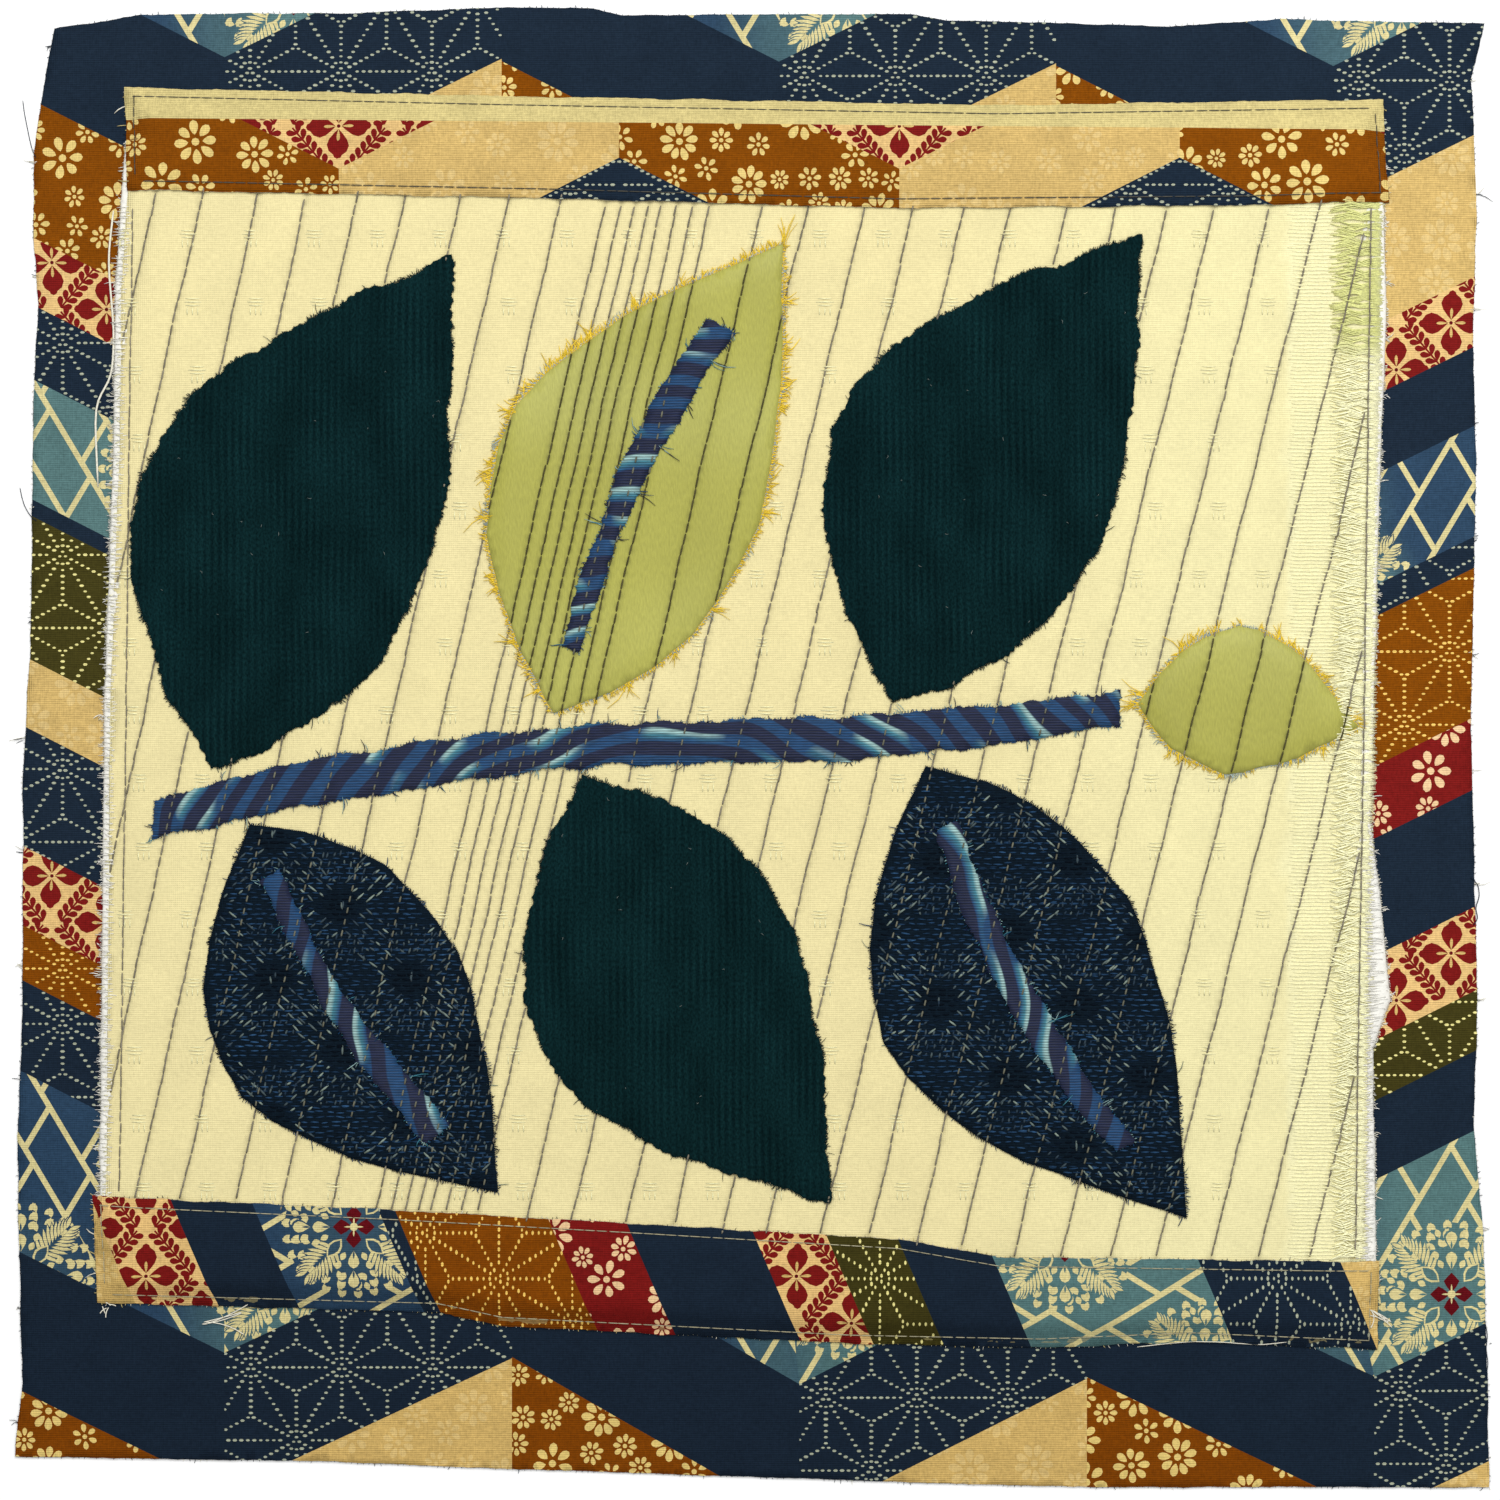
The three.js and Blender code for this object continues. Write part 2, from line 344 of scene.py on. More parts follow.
# Heights of the layers; a wave is its height, its span and the seed of its run
BASE_EDGE = 0.45
BASE_SWELL = 0.45
BASE_SOFT = 14
BASE_WAVE = (0.1, 38, 11)
FLEECE_EDGE = 0.2
FLEECE_SWELL = 1.0
FLEECE_SOFT = 1.8
PANEL_EDGE = 0.3
PANEL_SWELL = 1.05
PANEL_SOFT = 7
PANEL_WAVE = (0.1, 33, 21)
WALE_PITCH = 1.5
WALE_HEIGHT = 0.13
WALE_DRIFT = (0.3, 38, 51)
WALE_WEAR = (0.5, 13, 52)
WALE_STRENGTHS = (0.15, 1)
WALE_MEAN = 0.6
PATCH_EDGE = 0.35
PATCH_SWELL = 0.6
PATCH_SOFT = 3.5
BRANCH_SOFT = 1.4
RIB_EDGE = 0.25
RIB_SWELL = 0.35
RIB_SOFT = 1.0
STRIP_EDGE = 0.4
STRIP_HEIGHT = 4.45
STRIP_WAVE = (0.14, 24, 31)
STRIP_SOFT = 6


def waves(x, y, wave):
    """Soft unevenness of a cloth."""
    height, span, seed = wave
    return height * ripple(x, y, span, seed)


def base_top(x, y):
    """Height of the base cloth, thinner at its edge."""
    swell = rise(x, y, LOOPS["base_cloth"], BASE_SOFT)
    return BASE_EDGE + (BASE_SWELL + waves(x, y, BASE_WAVE)) * swell


def fleece_top(x, y):
    """Height of the fleece, with a round edge."""
    loop = LOOPS["batting"]
    gap = np.where(within(x, y, loop), edge_gap(x, y, loop), 0)
    bulge = np.sqrt(1 - (1 - np.clip(gap / FLEECE_SOFT, 0, 1)) ** 2)
    return base_top(x, y) + FLEECE_EDGE + FLEECE_SWELL * bulge


def panel_top(x, y, quilted=True):
    """Height of the panel, with or without the pull of its stitches."""
    swell = PANEL_SWELL * rise(x, y, LOOPS["cream_panel"], PANEL_SOFT)
    height = fleece_top(x, y) + PANEL_EDGE + swell + waves(x, y, PANEL_WAVE)
    return height - quilt_sink(x, y) if quilted else height


def wale(x, y):
    """Uneven rounded ridges of corduroy, from -1 to 1."""
    strength = np.clip(WALE_MEAN + waves(x, y, WALE_WEAR), *WALE_STRENGTHS)
    return strength * np.cos(FULL_TURN * (x + waves(x, y, WALE_DRIFT)) / WALE_PITCH)


def patch_top(node):
    """Height of a leaf or the branch on the panel."""
    corded = node in CORD_LEAVES
    soft = BRANCH_SOFT if node == "branch_strip" else PATCH_SOFT

    def height(x, y):
        lift = PATCH_EDGE + PATCH_SWELL * rise(x, y, LOOPS[node], soft)
        return panel_top(x, y, not corded) + lift + (WALE_HEIGHT * wale(x, y) if corded else 0)

    return height


def rib_top(node):
    """Height of a rib on its leaf."""
    leaf = patch_top(node.removesuffix("_rib"))

    def height(x, y):
        return leaf(x, y) + RIB_EDGE + RIB_SWELL * rise(x, y, LOOPS[node], RIB_SOFT)

    return height


def ground_top(x, y):
    """Height of base, fleece and panel together."""
    height = base_top(x, y)
    height = np.where(within(x, y, LOOPS["batting"]), fleece_top(x, y), height)
    return np.where(within(x, y, LOOPS["cream_panel"]), panel_top(x, y, False), height)


def strip_top(node):
    """Height of a border strip that bridges the panel's edge."""

    def height(x, y):
        edge = ground_top(x, y) + STRIP_EDGE
        full = STRIP_HEIGHT + waves(x, y, STRIP_WAVE)
        return edge + (full - edge) * rise(x, y, LOOPS[node], STRIP_SOFT)

    return height


TOPS = {"base_cloth": base_top, "batting": fleece_top, "cream_panel": panel_top}
for nodes, top in ((STRIPS, strip_top), (PATCHES, patch_top), (RIBS, rib_top)):
    TOPS.update({node: top(node) for node in nodes})


def top_of_all(x, y):
    """Height of whatever cloth lies uppermost."""
    height = ground_top(x, y)
    height = np.where(within(x, y, LOOPS["cream_panel"]), panel_top(x, y), height)
    for node in LOOPS:
        covered = within(x, y, LOOPS[node])
        if node in STRIPS + PATCHES + RIBS and np.any(covered):
            height = np.where(covered, TOPS[node](x, y), height)
    return height


# Materials
WAVE_SCALE = FULL_TURN / 20
NOISE_MIDDLE = (0.3, 0.7)
SHEEN_ROUGHNESS = 0.5
RIB_SHARE = 0.35
# Flecks to the metre each way
MOTTLE = (130, 130, 1)
FIBRES = (900, 900, 900)
FIBRE_CLUMPS = (180, 180, 180)
PILE = (2600, 1500, 1)
PILE_WEAR = (120, 60, 1)
TWILL = (3200, 700, 1)
SATIN_GLOW = (45, 16, 1)
SILK_PLACES = (60, 60, 1)
SILK_SLUBS = (350, 2200, 1)
THREAD_TWIST = (2500, 2500, 2500)
FLOOR_GRAIN = (30, 30, 30)
# Slants of the satin's twill and of its sheen
TWILL_TURN = math.radians(38)
GLOW_TURN = math.radians(-14)
CORD_SHEEN = (0.25, 0.75, 0.8, 1)
SATIN_SHEEN = (1, 1, 0.7, 1)


class Shader:
    """A node material under construction."""

    def __init__(self, name):
        self.material = bpy.data.materials.new(name)
        self.material.use_nodes = True
        self.tree = self.material.node_tree
        self.tree.nodes.clear()

    def node(self, kind, inputs=(), **settings):
        """One node, with what feeds it."""
        made = self.tree.nodes.new(kind)
        for key, value in settings.items():
            setattr(made, key, value)
        for key, value in dict(inputs).items():
            if isinstance(value, bpy.types.NodeSocket):
                self.tree.links.new(value, made.inputs[key])
            else:
                made.inputs[key].default_value = value
        return made

    def place(self, scale, turn=0, shift=(0, 0, 0)):
        """Object places in metres, scaled for a texture."""
        where = self.node("ShaderNodeTexCoord").outputs["Object"]
        inputs = {"Vector": where, "Scale": scale, "Rotation": (0, 0, turn), "Location": shift}
        return self.node("ShaderNodeMapping", inputs).outputs["Vector"]

    def noise(self, scale, detail=2, turn=0):
        """Uneven flecks, so many to the metre each way."""
        inputs = {"Vector": self.place(scale, turn), "Scale": 1, "Detail": detail}
        return self.node("ShaderNodeTexNoise", inputs).outputs["Fac"]

    def wave(self, pitch, place, distortion=0.6, detail_scale=0.4, **settings):
        """Regular bands one pitch apart."""
        inputs = {
            "Vector": place,
            "Scale": WAVE_SCALE / (pitch * MM),
            "Distortion": distortion,
            "Detail": 1,
            "Detail Scale": detail_scale,
        }
        return self.node("ShaderNodeTexWave", inputs, **settings).outputs["Fac"]

    def ribs(self, pitch, direction, distortion=0.6):
        """Straight threads one pitch apart."""
        return self.wave(pitch, self.place((1, 1, 1)), distortion, bands_direction=direction)

    def maths(self, operation, a, b):
        """Sum or product of two values."""
        return self.node("ShaderNodeMath", {0: a, 1: b}, operation=operation).outputs[0]

    def spread(self, value, low, high):
        """The middle range of a noise, spread from low to high."""
        inputs = {"Value": value, "To Min": low, "To Max": high}
        inputs.update(zip(("From Min", "From Max"), NOISE_MIDDLE))
        return self.node("ShaderNodeMapRange", inputs).outputs["Result"]

    def shaded(self, colour, *shades):
        """A colour made lighter and darker by noises, each between its limits."""
        for value, low, high in shades:
            inputs = {0: colour, "Scale": self.spread(value, low, high)}
            colour = self.node("ShaderNodeVectorMath", inputs, operation="SCALE").outputs["Vector"]
        return colour

    def dyed(self, *shades):
        """The piece's own colours, made lighter and darker."""
        own = self.node("ShaderNodeAttribute", attribute_name="cloth_colour").outputs["Color"]
        return self.shaded(own, *shades)

    def finish(self, colour, height, depth, roughness, sheen=0.0, gloss=0.05, sheen_tint=(1, 1, 1, 1)):
        """Cloth surface with a fine relief."""
        inputs = {"Height": height, "Strength": 1, "Distance": depth * MM}
        normal = self.node("ShaderNodeBump", inputs).outputs["Normal"]
        inputs = {
            "Base Color": colour,
            "Roughness": roughness,
            "Normal": normal,
            "Sheen Weight": sheen,
            "Sheen Roughness": SHEEN_ROUGHNESS,
            "Sheen Tint": sheen_tint,
            "Specular IOR Level": gloss,
        }
        shader = self.node("ShaderNodeBsdfPrincipled", inputs).outputs["BSDF"]
        self.node("ShaderNodeOutputMaterial", {"Surface": shader})
        return self.material


def weave_material(name, pitch, flecks, contrast, depth):
    """Plain weave with uneven threads both ways and a faint mottle."""
    shader = Shader(name)
    across, along = (1 / (fleck * MM) for fleck in flecks)
    warp = shader.noise((across, along, 1))
    weft = shader.noise((along, across, 1))
    uneven = shader.maths("MULTIPLY", shader.maths("ADD", warp, weft), 0.5)
    rows = shader.ribs(pitch, "Y")
    ribs = shader.maths("ADD", shader.ribs(pitch, "X"), rows)
    height = shader.maths("ADD", shader.maths("MULTIPLY", ribs, RIB_SHARE), uneven)
    mottle = shader.noise(MOTTLE, detail=4)
    changes = ((rows, contrast / 2), (mottle, contrast / 3), (uneven, contrast))
    colour = shader.dyed(*((value, 1 - change, 1 + change) for value, change in changes))
    return shader.finish(colour, height, depth, roughness=0.9)


def fleece_material():
    """Matted white fibres."""
    shader = Shader("fleece")
    fibres = shader.noise(FIBRES, detail=6)
    tufts = shader.noise(FIBRE_CLUMPS, detail=3)
    height = shader.maths("ADD", fibres, tufts)
    colour = shader.dyed((fibres, 0.93, 1.03))
    return shader.finish(colour, height, depth=0.25, roughness=1.0)


def cord_material():
    """Short pile in upright ridges."""
    shader = Shader("cord")
    pile = shader.noise(PILE, detail=3)
    wear = shader.noise(PILE_WEAR, detail=3)
    colour = shader.dyed((pile, 0.5, 1.5), (wear, 0.75, 1.25))
    return shader.finish(
        colour, pile, depth=0.16, roughness=1.0, sheen=0.05, gloss=0.02, sheen_tint=CORD_SHEEN
    )


def satin_material():
    """Smooth twill with a soft sheen."""
    shader = Shader("satin")
    twill = shader.noise(TWILL, turn=TWILL_TURN)
    sheen = shader.noise(SATIN_GLOW, turn=GLOW_TURN)
    colour = shader.dyed((twill, 0.9, 1.1), (sheen, 0.94, 1.12))
    return shader.finish(
        colour, twill, depth=0.05, roughness=0.5, sheen=0.1, gloss=0.25, sheen_tint=SATIN_SHEEN
    )


def band_ramp(shader, value, stops):
    """Bands of colours, each from its start."""
    ramp = shader.node("ShaderNodeValToRGB", {"Fac": value})
    for _ in range(len(stops) - 2):
        ramp.color_ramp.elements.new(0.5)
    for stop, (start, colour) in zip(ramp.color_ramp.elements, stops):
        stop.position = start
        stop.color = (*colour, 1)
    return ramp.outputs["Color"]


SILK_DEEP = ((0, SILK_NIGHT), (0.05, SILK_BLUE), (0.48, SILK_BLUE), (0.53, SILK_NIGHT), (1, SILK_NIGHT))
SILK_LIGHT = (
    (0, SILK_NIGHT),
    (0.05, SILK_BLUE),
    (0.26, SILK_AQUA),
    (0.38, SILK_PALE),
    (0.46, SILK_PALE),
    (0.52, SILK_NIGHT),
    (1, SILK_NIGHT),
)
SILK_BAND = 5.6
SILK_SHIFT = (0.018, 0.055, 0)
SILK_RIB = 0.55
SILK_CONTRAST = 2.6


def silk_material():
    """Thin ribbed silk with curved bands, paler in places."""
    shader = Shader("silk")
    settings = {"wave_type": "RINGS", "rings_direction": "SPHERICAL", "wave_profile": "SAW"}
    place = shader.place((1, 1, 0), shift=SILK_SHIFT)
    bands = shader.wave(SILK_BAND, place, distortion=5.0, detail_scale=0.8, **settings)
    where = shader.spread(shader.noise(SILK_PLACES, detail=1), -SILK_CONTRAST, SILK_CONTRAST)
    inputs = {0: where, 6: band_ramp(shader, bands, SILK_DEEP), 7: band_ramp(shader, bands, SILK_LIGHT)}
    banded = shader.node("ShaderNodeMix", inputs, data_type="RGBA", clamp_factor=True).outputs[2]
    ribs = shader.ribs(SILK_RIB, "Y", distortion=1.2)
    slubs = shader.noise(SILK_SLUBS)
    colour = shader.shaded(banded, (ribs, 0.68, 1.3), (slubs, 0.7, 1.3))
    return shader.finish(colour, ribs, depth=0.1, roughness=0.55, sheen=0.05, gloss=0.2)


def thread_material():
    """Twisted sewing and loose threads in their own colours."""
    shader = Shader("thread")
    twist = shader.noise(THREAD_TWIST)
    return shader.finish(shader.dyed((twist, 0.85, 1.15)), twist, depth=0.05, roughness=0.8)


def floor_material():
    """Plain pale floor with a faint grain."""
    shader = Shader("floor")
    grain = shader.noise(FLOOR_GRAIN, detail=3)
    colour = shader.shaded(FLOOR_WHITE, (grain, 0.99, 1.0))
    return shader.finish(colour, grain, depth=0.01, roughness=0.9)


# The weaves differ in the pitch and flecks of their threads, their contrast and their depth
MATERIALS = {
    "print_cloth": weave_material("print", 0.45, (0.42, 1.5), 0.22, 0.14),
    "cream_cloth": weave_material("cream", 0.43, (0.42, 1.6), 0.09, 0.12),
    "indigo_cloth": weave_material("indigo", 0.5, (0.5, 1.4), 0.35, 0.14),
    "fleece": fleece_material(),
    "cord_cloth": cord_material(),
    "satin_cloth": satin_material(),
    "silk_cloth": silk_material(),
    "thread": thread_material(),
}


# Meshes; the map of a sheet holds its face and, in a corner, its back
MAP_FACE = 0.84
MAP_BACK = (0.86, 0.13)
BACK_STEP = 2.5
BASE_BACK_STEP = 7
BACK_INSET = 2
TIP_SHARE = 0.55
TINY = 1e-12


def put_in_scene(name, data):
    """An object in the scene."""
    made = bpy.data.objects.new(name, data)
    bpy.context.scene.collection.objects.link(made)
    return made


def add_object(name, points, faces, corner_tints, smooth, material):
    """A mesh object with its own colours, riding on the quilt."""
    mesh = bpy.data.meshes.new(name)
    mesh.from_pydata((np.asarray(points) * MM).tolist(), [], faces)
    layer = mesh.color_attributes.new("cloth_colour", "FLOAT_COLOR", "CORNER")
    shades = np.column_stack([corner_tints, np.ones(len(corner_tints))])
    layer.data.foreach_set("color", shades.ravel())
    mesh.polygons.foreach_set("use_smooth", smooth)
    mesh.materials.append(material)
    made = put_in_scene(name, mesh)
    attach(made, "root")
    return made


def fill(loop, shapes, places):
    """Triangles that fill a loop, and the shapes that hold each of them."""
    rings = [loop, *shapes]
    flat = [Vector(point) for ring in rings for point in ring]
    flat.extend(Vector(point) for point in places)
    ends = np.cumsum([0] + [len(ring) for ring in rings])
    faces = [list(range(a, b)) for a, b in zip(ends[:-1], ends[1:])]
    filled = delaunay_2d_cdt(flat, [], faces, 1, FILL_EPSILON, True)
    points = np.array([tuple(point) for point in filled[0]])
    kept = [index for index, held in enumerate(filled[5]) if 0 in held]
    triangles = np.array([filled[2][index] for index in kept])
    holders = [filled[5][index] for index in kept]
    used, triangles = np.unique(triangles, return_inverse=True)
    return points[used], triangles.reshape(-1, 3), holders


def rim_of(triangles):
    """The outer corners of a filled loop, in order."""
    sides = np.vstack([triangles[:, [0, 1]], triangles[:, [1, 2]], triangles[:, [2, 0]]])
    size = triangles.max() + 1
    lone = ~np.isin(sides[:, 0] * size + sides[:, 1], sides[:, 1] * size + sides[:, 0])
    following = dict(sides[lone].tolist())
    rim = [next(iter(following))]
    while following[rim[-1]] != rim[0]:
        rim.append(following[rim[-1]])
    return rim


def flat_map(made, points, face_count):
    """Plan view map: the face large, the back in a corner."""
    low, high = points[:, :2].min(0), points[:, :2].max(0)
    plan = (points[:, :2] - low) / (high - low)
    corners = np.empty(len(made.data.loops), int)
    made.data.loops.foreach_get("vertex_index", corners)
    places = plan[corners] * MAP_FACE
    start, share = MAP_BACK
    places[face_count:] = start + plan[corners[face_count:]] * share
    layer = made.data.uv_layers.new(name="OFBake")
    layer.data.foreach_set("uv", places.ravel())


def cloth(node, loop, places, colouring, slot, thickness, rim_tint, back_tint):
    """Thin closed sheet: a fine face, a narrow rim and a plain back."""
    top = TOPS[node]
    printed = isinstance(colouring, Print)
    plan, triangles, holders = fill(loop, colouring.shapes if printed else [], places)
    rim = rim_of(triangles)
    step = BASE_BACK_STEP if node == "base_cloth" else BACK_STEP
    backing = inside_loop(mesh_points(loop, step), CUTS[node], BACK_INSET)
    back_plan, back_triangles, back_holders = fill(plan[rim], colouring.grounds if printed else [], backing)
    under = [int(np.argmin(np.hypot(*(back_plan - plan[corner]).T))) + len(plan) for corner in rim]
    face = np.column_stack([plan, top(*plan.T)])
    lower = top(*back_plan.T) - thickness if thickness else np.zeros(len(back_plan))
    points = np.vstack([face, np.column_stack([back_plan, lower])])
    faces = triangles.tolist()
    ring = list(zip(rim, under))
    for (here, low_here), (there, low_there) in zip(ring, ring[1:] + ring[:1]):
        faces.append([there, here, low_here, low_there])
    faces.extend((back_triangles[:, ::-1] + len(plan)).tolist())
    if printed:
        face_tints = np.repeat([colouring.tint_of(held) for held in holders], 3, axis=0)
        face_tints = colouring.shade(face_tints, plan[triangles.ravel()])
        back_tints = np.repeat([colouring.back_of(held) for held in back_holders], 3, axis=0)
    else:
        face_tints = colouring(*plan.T)[triangles.ravel()]
        back_tints = np.tile(back_tint, (3 * len(back_triangles), 1))
    tints = np.vstack([face_tints, np.tile(rim_tint, (4 * len(rim), 1)), back_tints])
    smooth = [True] * len(triangles) + [False] * (len(rim) + len(back_triangles))
    made = add_object(node + "_cloth", points, faces, tints, smooth, MATERIALS[slot])
    flat_map(made, points, 3 * len(triangles))
    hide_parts(node)
    return made


def laid(x, y, top, lift):
    """Paths that follow a surface, with their lift above it."""
    return np.stack([x, y, top(x, y) + lift], axis=-1)


def varied(colours, shades, count, draw):
    """A colour for each thread, a little lighter or darker."""
    return colours * draw.uniform(*shades, (count, 1))


def threads(name, paths, radius, tints, sides=3):
    """Many round threads in one mesh, each along its own path."""
    paths = np.asarray(paths, float)
    count, steps, _ = paths.shape
    along = np.gradient(paths, axis=1)
    along /= np.linalg.norm(along, axis=2)[..., None] + TINY
    level = np.cross(along, (0.0, 0.0, 1.0))
    level /= np.linalg.norm(level, axis=2)[..., None] + TINY
    upright = np.cross(level, along)
    radii = np.broadcast_to(np.asarray(radius, float), count)[:, None] * np.ones(steps)
    radii[:, [0, -1]] *= TIP_SHARE
    turns = np.arange(sides) * FULL_TURN / sides + FULL_TURN / 4 - FULL_TURN / sides / 2
    ring = [level * math.cos(turn) + upright * math.sin(turn) for turn in turns]
    points = np.stack([paths + side * radii[..., None] for side in ring], axis=2)
    first = np.arange(count)[:, None, None] * steps * sides
    start = first + np.arange(steps - 1)[None, :, None] * sides
    here = np.arange(sides)[None, None, :]
    after = (here + 1) % sides
    corners = [start + here, start + after, start + sides + after, start + sides + here]
    quads = np.stack(corners, axis=-1).reshape(-1, 4)
    caps = np.arange(sides)
    starts = (first[:, :, 0] + caps[::-1]).tolist()
    ends = (first[:, :, 0] + (steps - 1) * sides + caps).tolist()
    faces = quads.tolist() + starts + ends
    wall = (steps - 1) * sides * 4
    tints = np.broadcast_to(tints, (count, 3))
    corner_tints = np.vstack([np.repeat(tints, corners, 0) for corners in (wall, sides, sides)])
    smooth = [True] * len(quads) + [False] * (2 * count)
    material = MATERIALS["thread"]
    return add_object(name, points.reshape(-1, 3), faces, corner_tints, smooth, material)


# Printed cloth, with painted light that makes it brighter to the right and painted shade that makes it
# deeper in colour towards the lower end
OUTLINE_STEP = 2.0
COVER_MARGIN = 1
RIGHT_PAINTED_LIGHT = 0.08
PAINTED_LIGHT_FROM = 40
PAINTED_LIGHT_REACH = 100
LOWER_PAINTED_SHADE = 0.07
PAINTED_SHADE_REACH = 135
SPRAY_FULL = 1.5
SPRAY_REACH = 12
VALLEY_SHARE = 0.5
VALLEY_REACH = 15
BACK_GROUND = 0.6
BACK_CLOTH = 0.3


class Print:
    """Patches of ground colour with motifs on them."""

    def __init__(self, covers=()):
        self.covers = covers
        self.shapes = []
        self.tints = []
        self.patch_of = []
        self.grounds = []
        self.ground_tints = []
        self.sprays = []
        self.valleys = ()
        self.anchors = {}
        self.side = -1

    def ground(self, shape, colour):
        """A patch of ground; a later one covers an earlier one."""
        index = len(self.shapes)
        shape = spaced(anticlockwise(shape), OUTLINE_STEP)
        self.shapes.append(shape)
        self.tints.append(colour)
        self.patch_of.append(index)
        self.grounds.append(shape)
        self.ground_tints.append(colour)
        return index

    def motif(self, patch, shape, colour):
        """A motif that shows where its patch shows."""
        self.shapes.append(anticlockwise(shape))
        self.tints.append(colour)
        self.patch_of.append(patch)

    def seen(self, points, patch, margin):
        """The points on a patch that no other cloth covers."""
        x, y = points.T
        shape = self.shapes[patch]
        kept = within(x, y, shape) | (edge_gap(x, y, shape) < margin)
        for cover in self.covers:
            kept &= ~(within(x, y, cover) & (edge_gap(x, y, cover) > margin + COVER_MARGIN))
        return points[kept]

    def tint_of(self, held):
        """Colour where certain shapes lie over each other."""
        owners = [index - 1 for index in held if index]
        grounds = [index for index in owners if self.patch_of[index] == index]
        if not grounds:
            return NAVY
        patch = max(grounds)
        return self.tints[max(index for index in owners if self.patch_of[index] == patch)]

    def shade(self, tints, places):
        """Blue and teal grounds that run softly into each other, under painted light to the right and
        painted shade towards the lower end.
        """
        spray = np.zeros(len(places))
        valley = np.zeros(len(places))
        for x, y, teal in self.sprays:
            gap = np.hypot(*(places - (x, y)).T)
            spray = np.maximum(spray, teal * ease(SPRAY_FULL - gap / SPRAY_REACH))
        for x in self.valleys:
            valley = np.maximum(valley, VALLEY_SHARE * ease(1 - np.abs(places[:, 0] - x) / VALLEY_REACH))
        for own, other, share in ((BLUE, TEAL, np.maximum(spray, valley)), (TEAL, BLUE, valley)):
            matching = np.all(tints == own, axis=1)
            tints = np.where(matching[:, None], tints + (other - own) * share[:, None], tints)
        # Painted light: the print grows brighter towards the right; painted shade: its colours deepen
        # towards the lower end
        painted_light = 1 + RIGHT_PAINTED_LIGHT * ease((places[:, 0] - PAINTED_LIGHT_FROM) / PAINTED_LIGHT_REACH)
        painted_shade = 1 + LOWER_PAINTED_SHADE * np.clip(-places[:, 1] / PAINTED_SHADE_REACH, 0, 1)
        return (tints * painted_light[:, None]) ** painted_shade[:, None]

    def back_of(self, held):
        """Colour of the ground as it shows faintly through to the back."""
        owners = [index - 1 for index in held if index]
        ground = self.ground_tints[max(owners)] if owners else NAVY
        return ground * BACK_GROUND + SELVEDGE * BACK_CLOTH


def toward(angle):
    """Direction at an angle in plan."""
    return np.array([math.cos(angle), math.sin(angle)])


def oval(x, y, half_long, half_wide, turn=0.0, corners=8):
    """Points round an oval."""
    angles = np.arange(corners) * FULL_TURN / corners
    along, aside = half_long * np.cos(angles), half_wide * np.sin(angles)
    dx = along * math.cos(turn) - aside * math.sin(turn)
    dy = along * math.sin(turn) + aside * math.cos(turn)
    return np.column_stack([x + dx, y + dy])


# Half widths of petals and leaves along their lengths
DROP = ((0, 0), (0.2, 0.4), (0.45, 0.85), (0.7, 1.0), (0.9, 0.65), (1.0, 0.0))
LEAF = ((0, 0), (0.25, 0.75), (0.5, 1.0), (0.75, 0.7), (1.0, 0.0))
DAISY_PETAL = ((0, 0), (0.15, 0.5), (0.4, 0.9), (0.65, 1.0), (0.88, 0.7), (1.0, 0.0))
LOZENGE = ((0, 0), (0.3, 0.62), (0.58, 1.0), (0.8, 0.5), (1.0, 0.0))
ACORN = ((0, 0), (0.15, 0.4), (0.35, 0.82), (0.55, 1.0), (0.75, 0.8), (0.87, 0.36), (0.95, 0.28), (1.0, 0.0))


def petal(x, y, length, width, turn, stations=DROP):
    """Petal that starts at a place and runs along its heading."""
    outline = [*stations, *((share, -half) for share, half in stations[-2:0:-1])]
    points = np.array(outline) * (length, width / 2)
    return turned(points, turn) + (x, y)


def turned(points, turn, centre=(0.0, 0.0)):
    """Points turned about a centre."""
    x, y = (np.asarray(points) - centre).T
    c, s = math.cos(turn), math.sin(turn)
    return np.column_stack([x * c - y * s, x * s + y * c]) + centre


STAR_SIDE = 18.9
STAR_RISE = 15.2
STAR_DOT_GAP = 1.35
STAR_DOT_LEAST = 1.0
STAR_DOT = (0.46, 0.27)
STAR_DOT_SIZES = (0.8, 1.15)


def dotted(a, b):
    """Places along a dotted line between two points."""
    count = max(1, round(math.dist(a, b) / STAR_DOT_GAP))
    shares = (np.arange(count) + 0.5) / count
    return a + (b - a) * shares[:, None]


def star_dots(work, patch, turn, draw, colour):
    """Dotted triangles with spokes to their middles, a hemp-leaf pattern."""
    shape = work.shapes[patch]
    middle = work.anchors.get("star", shape.mean(0))
    reach = np.hypot(*(shape - middle).T).max() + STAR_SIDE
    right, up = np.array([STAR_SIDE, 0]), np.array([STAR_SIDE / 2, STAR_RISE])
    spots = []
    span = int(reach / STAR_RISE) + 2
    for i in range(-2 * span, 2 * span):
        for j in range(-span, span):
            corner = i * right + j * up
            if math.hypot(*corner) > reach:
                continue
            spots.extend([dotted(corner, corner + right), dotted(corner, corner + up)])
            spots.append(dotted(corner + right, corner + up))
            far = corner + right + up
            for triangle in ((corner, corner + right, corner + up), (corner + right, corner + up, far)):
                heart = np.mean(triangle, axis=0)
                spots.extend(dotted(heart, point) for point in triangle)
    spots = work.seen(turned(np.vstack(spots), turn) + middle, patch, 0.0)
    placed = np.full((len(spots), 2), FAR_AWAY)
    for index, (x, y) in enumerate(spots):
        if np.hypot(placed[:, 0] - x, placed[:, 1] - y).min() > STAR_DOT_LEAST:
            placed[index] = x, y
            half_long, half_wide = np.array(STAR_DOT) * draw.uniform(*STAR_DOT_SIZES)
            work.motif(patch, oval(x, y, half_long, half_wide, turn, corners=6), colour)


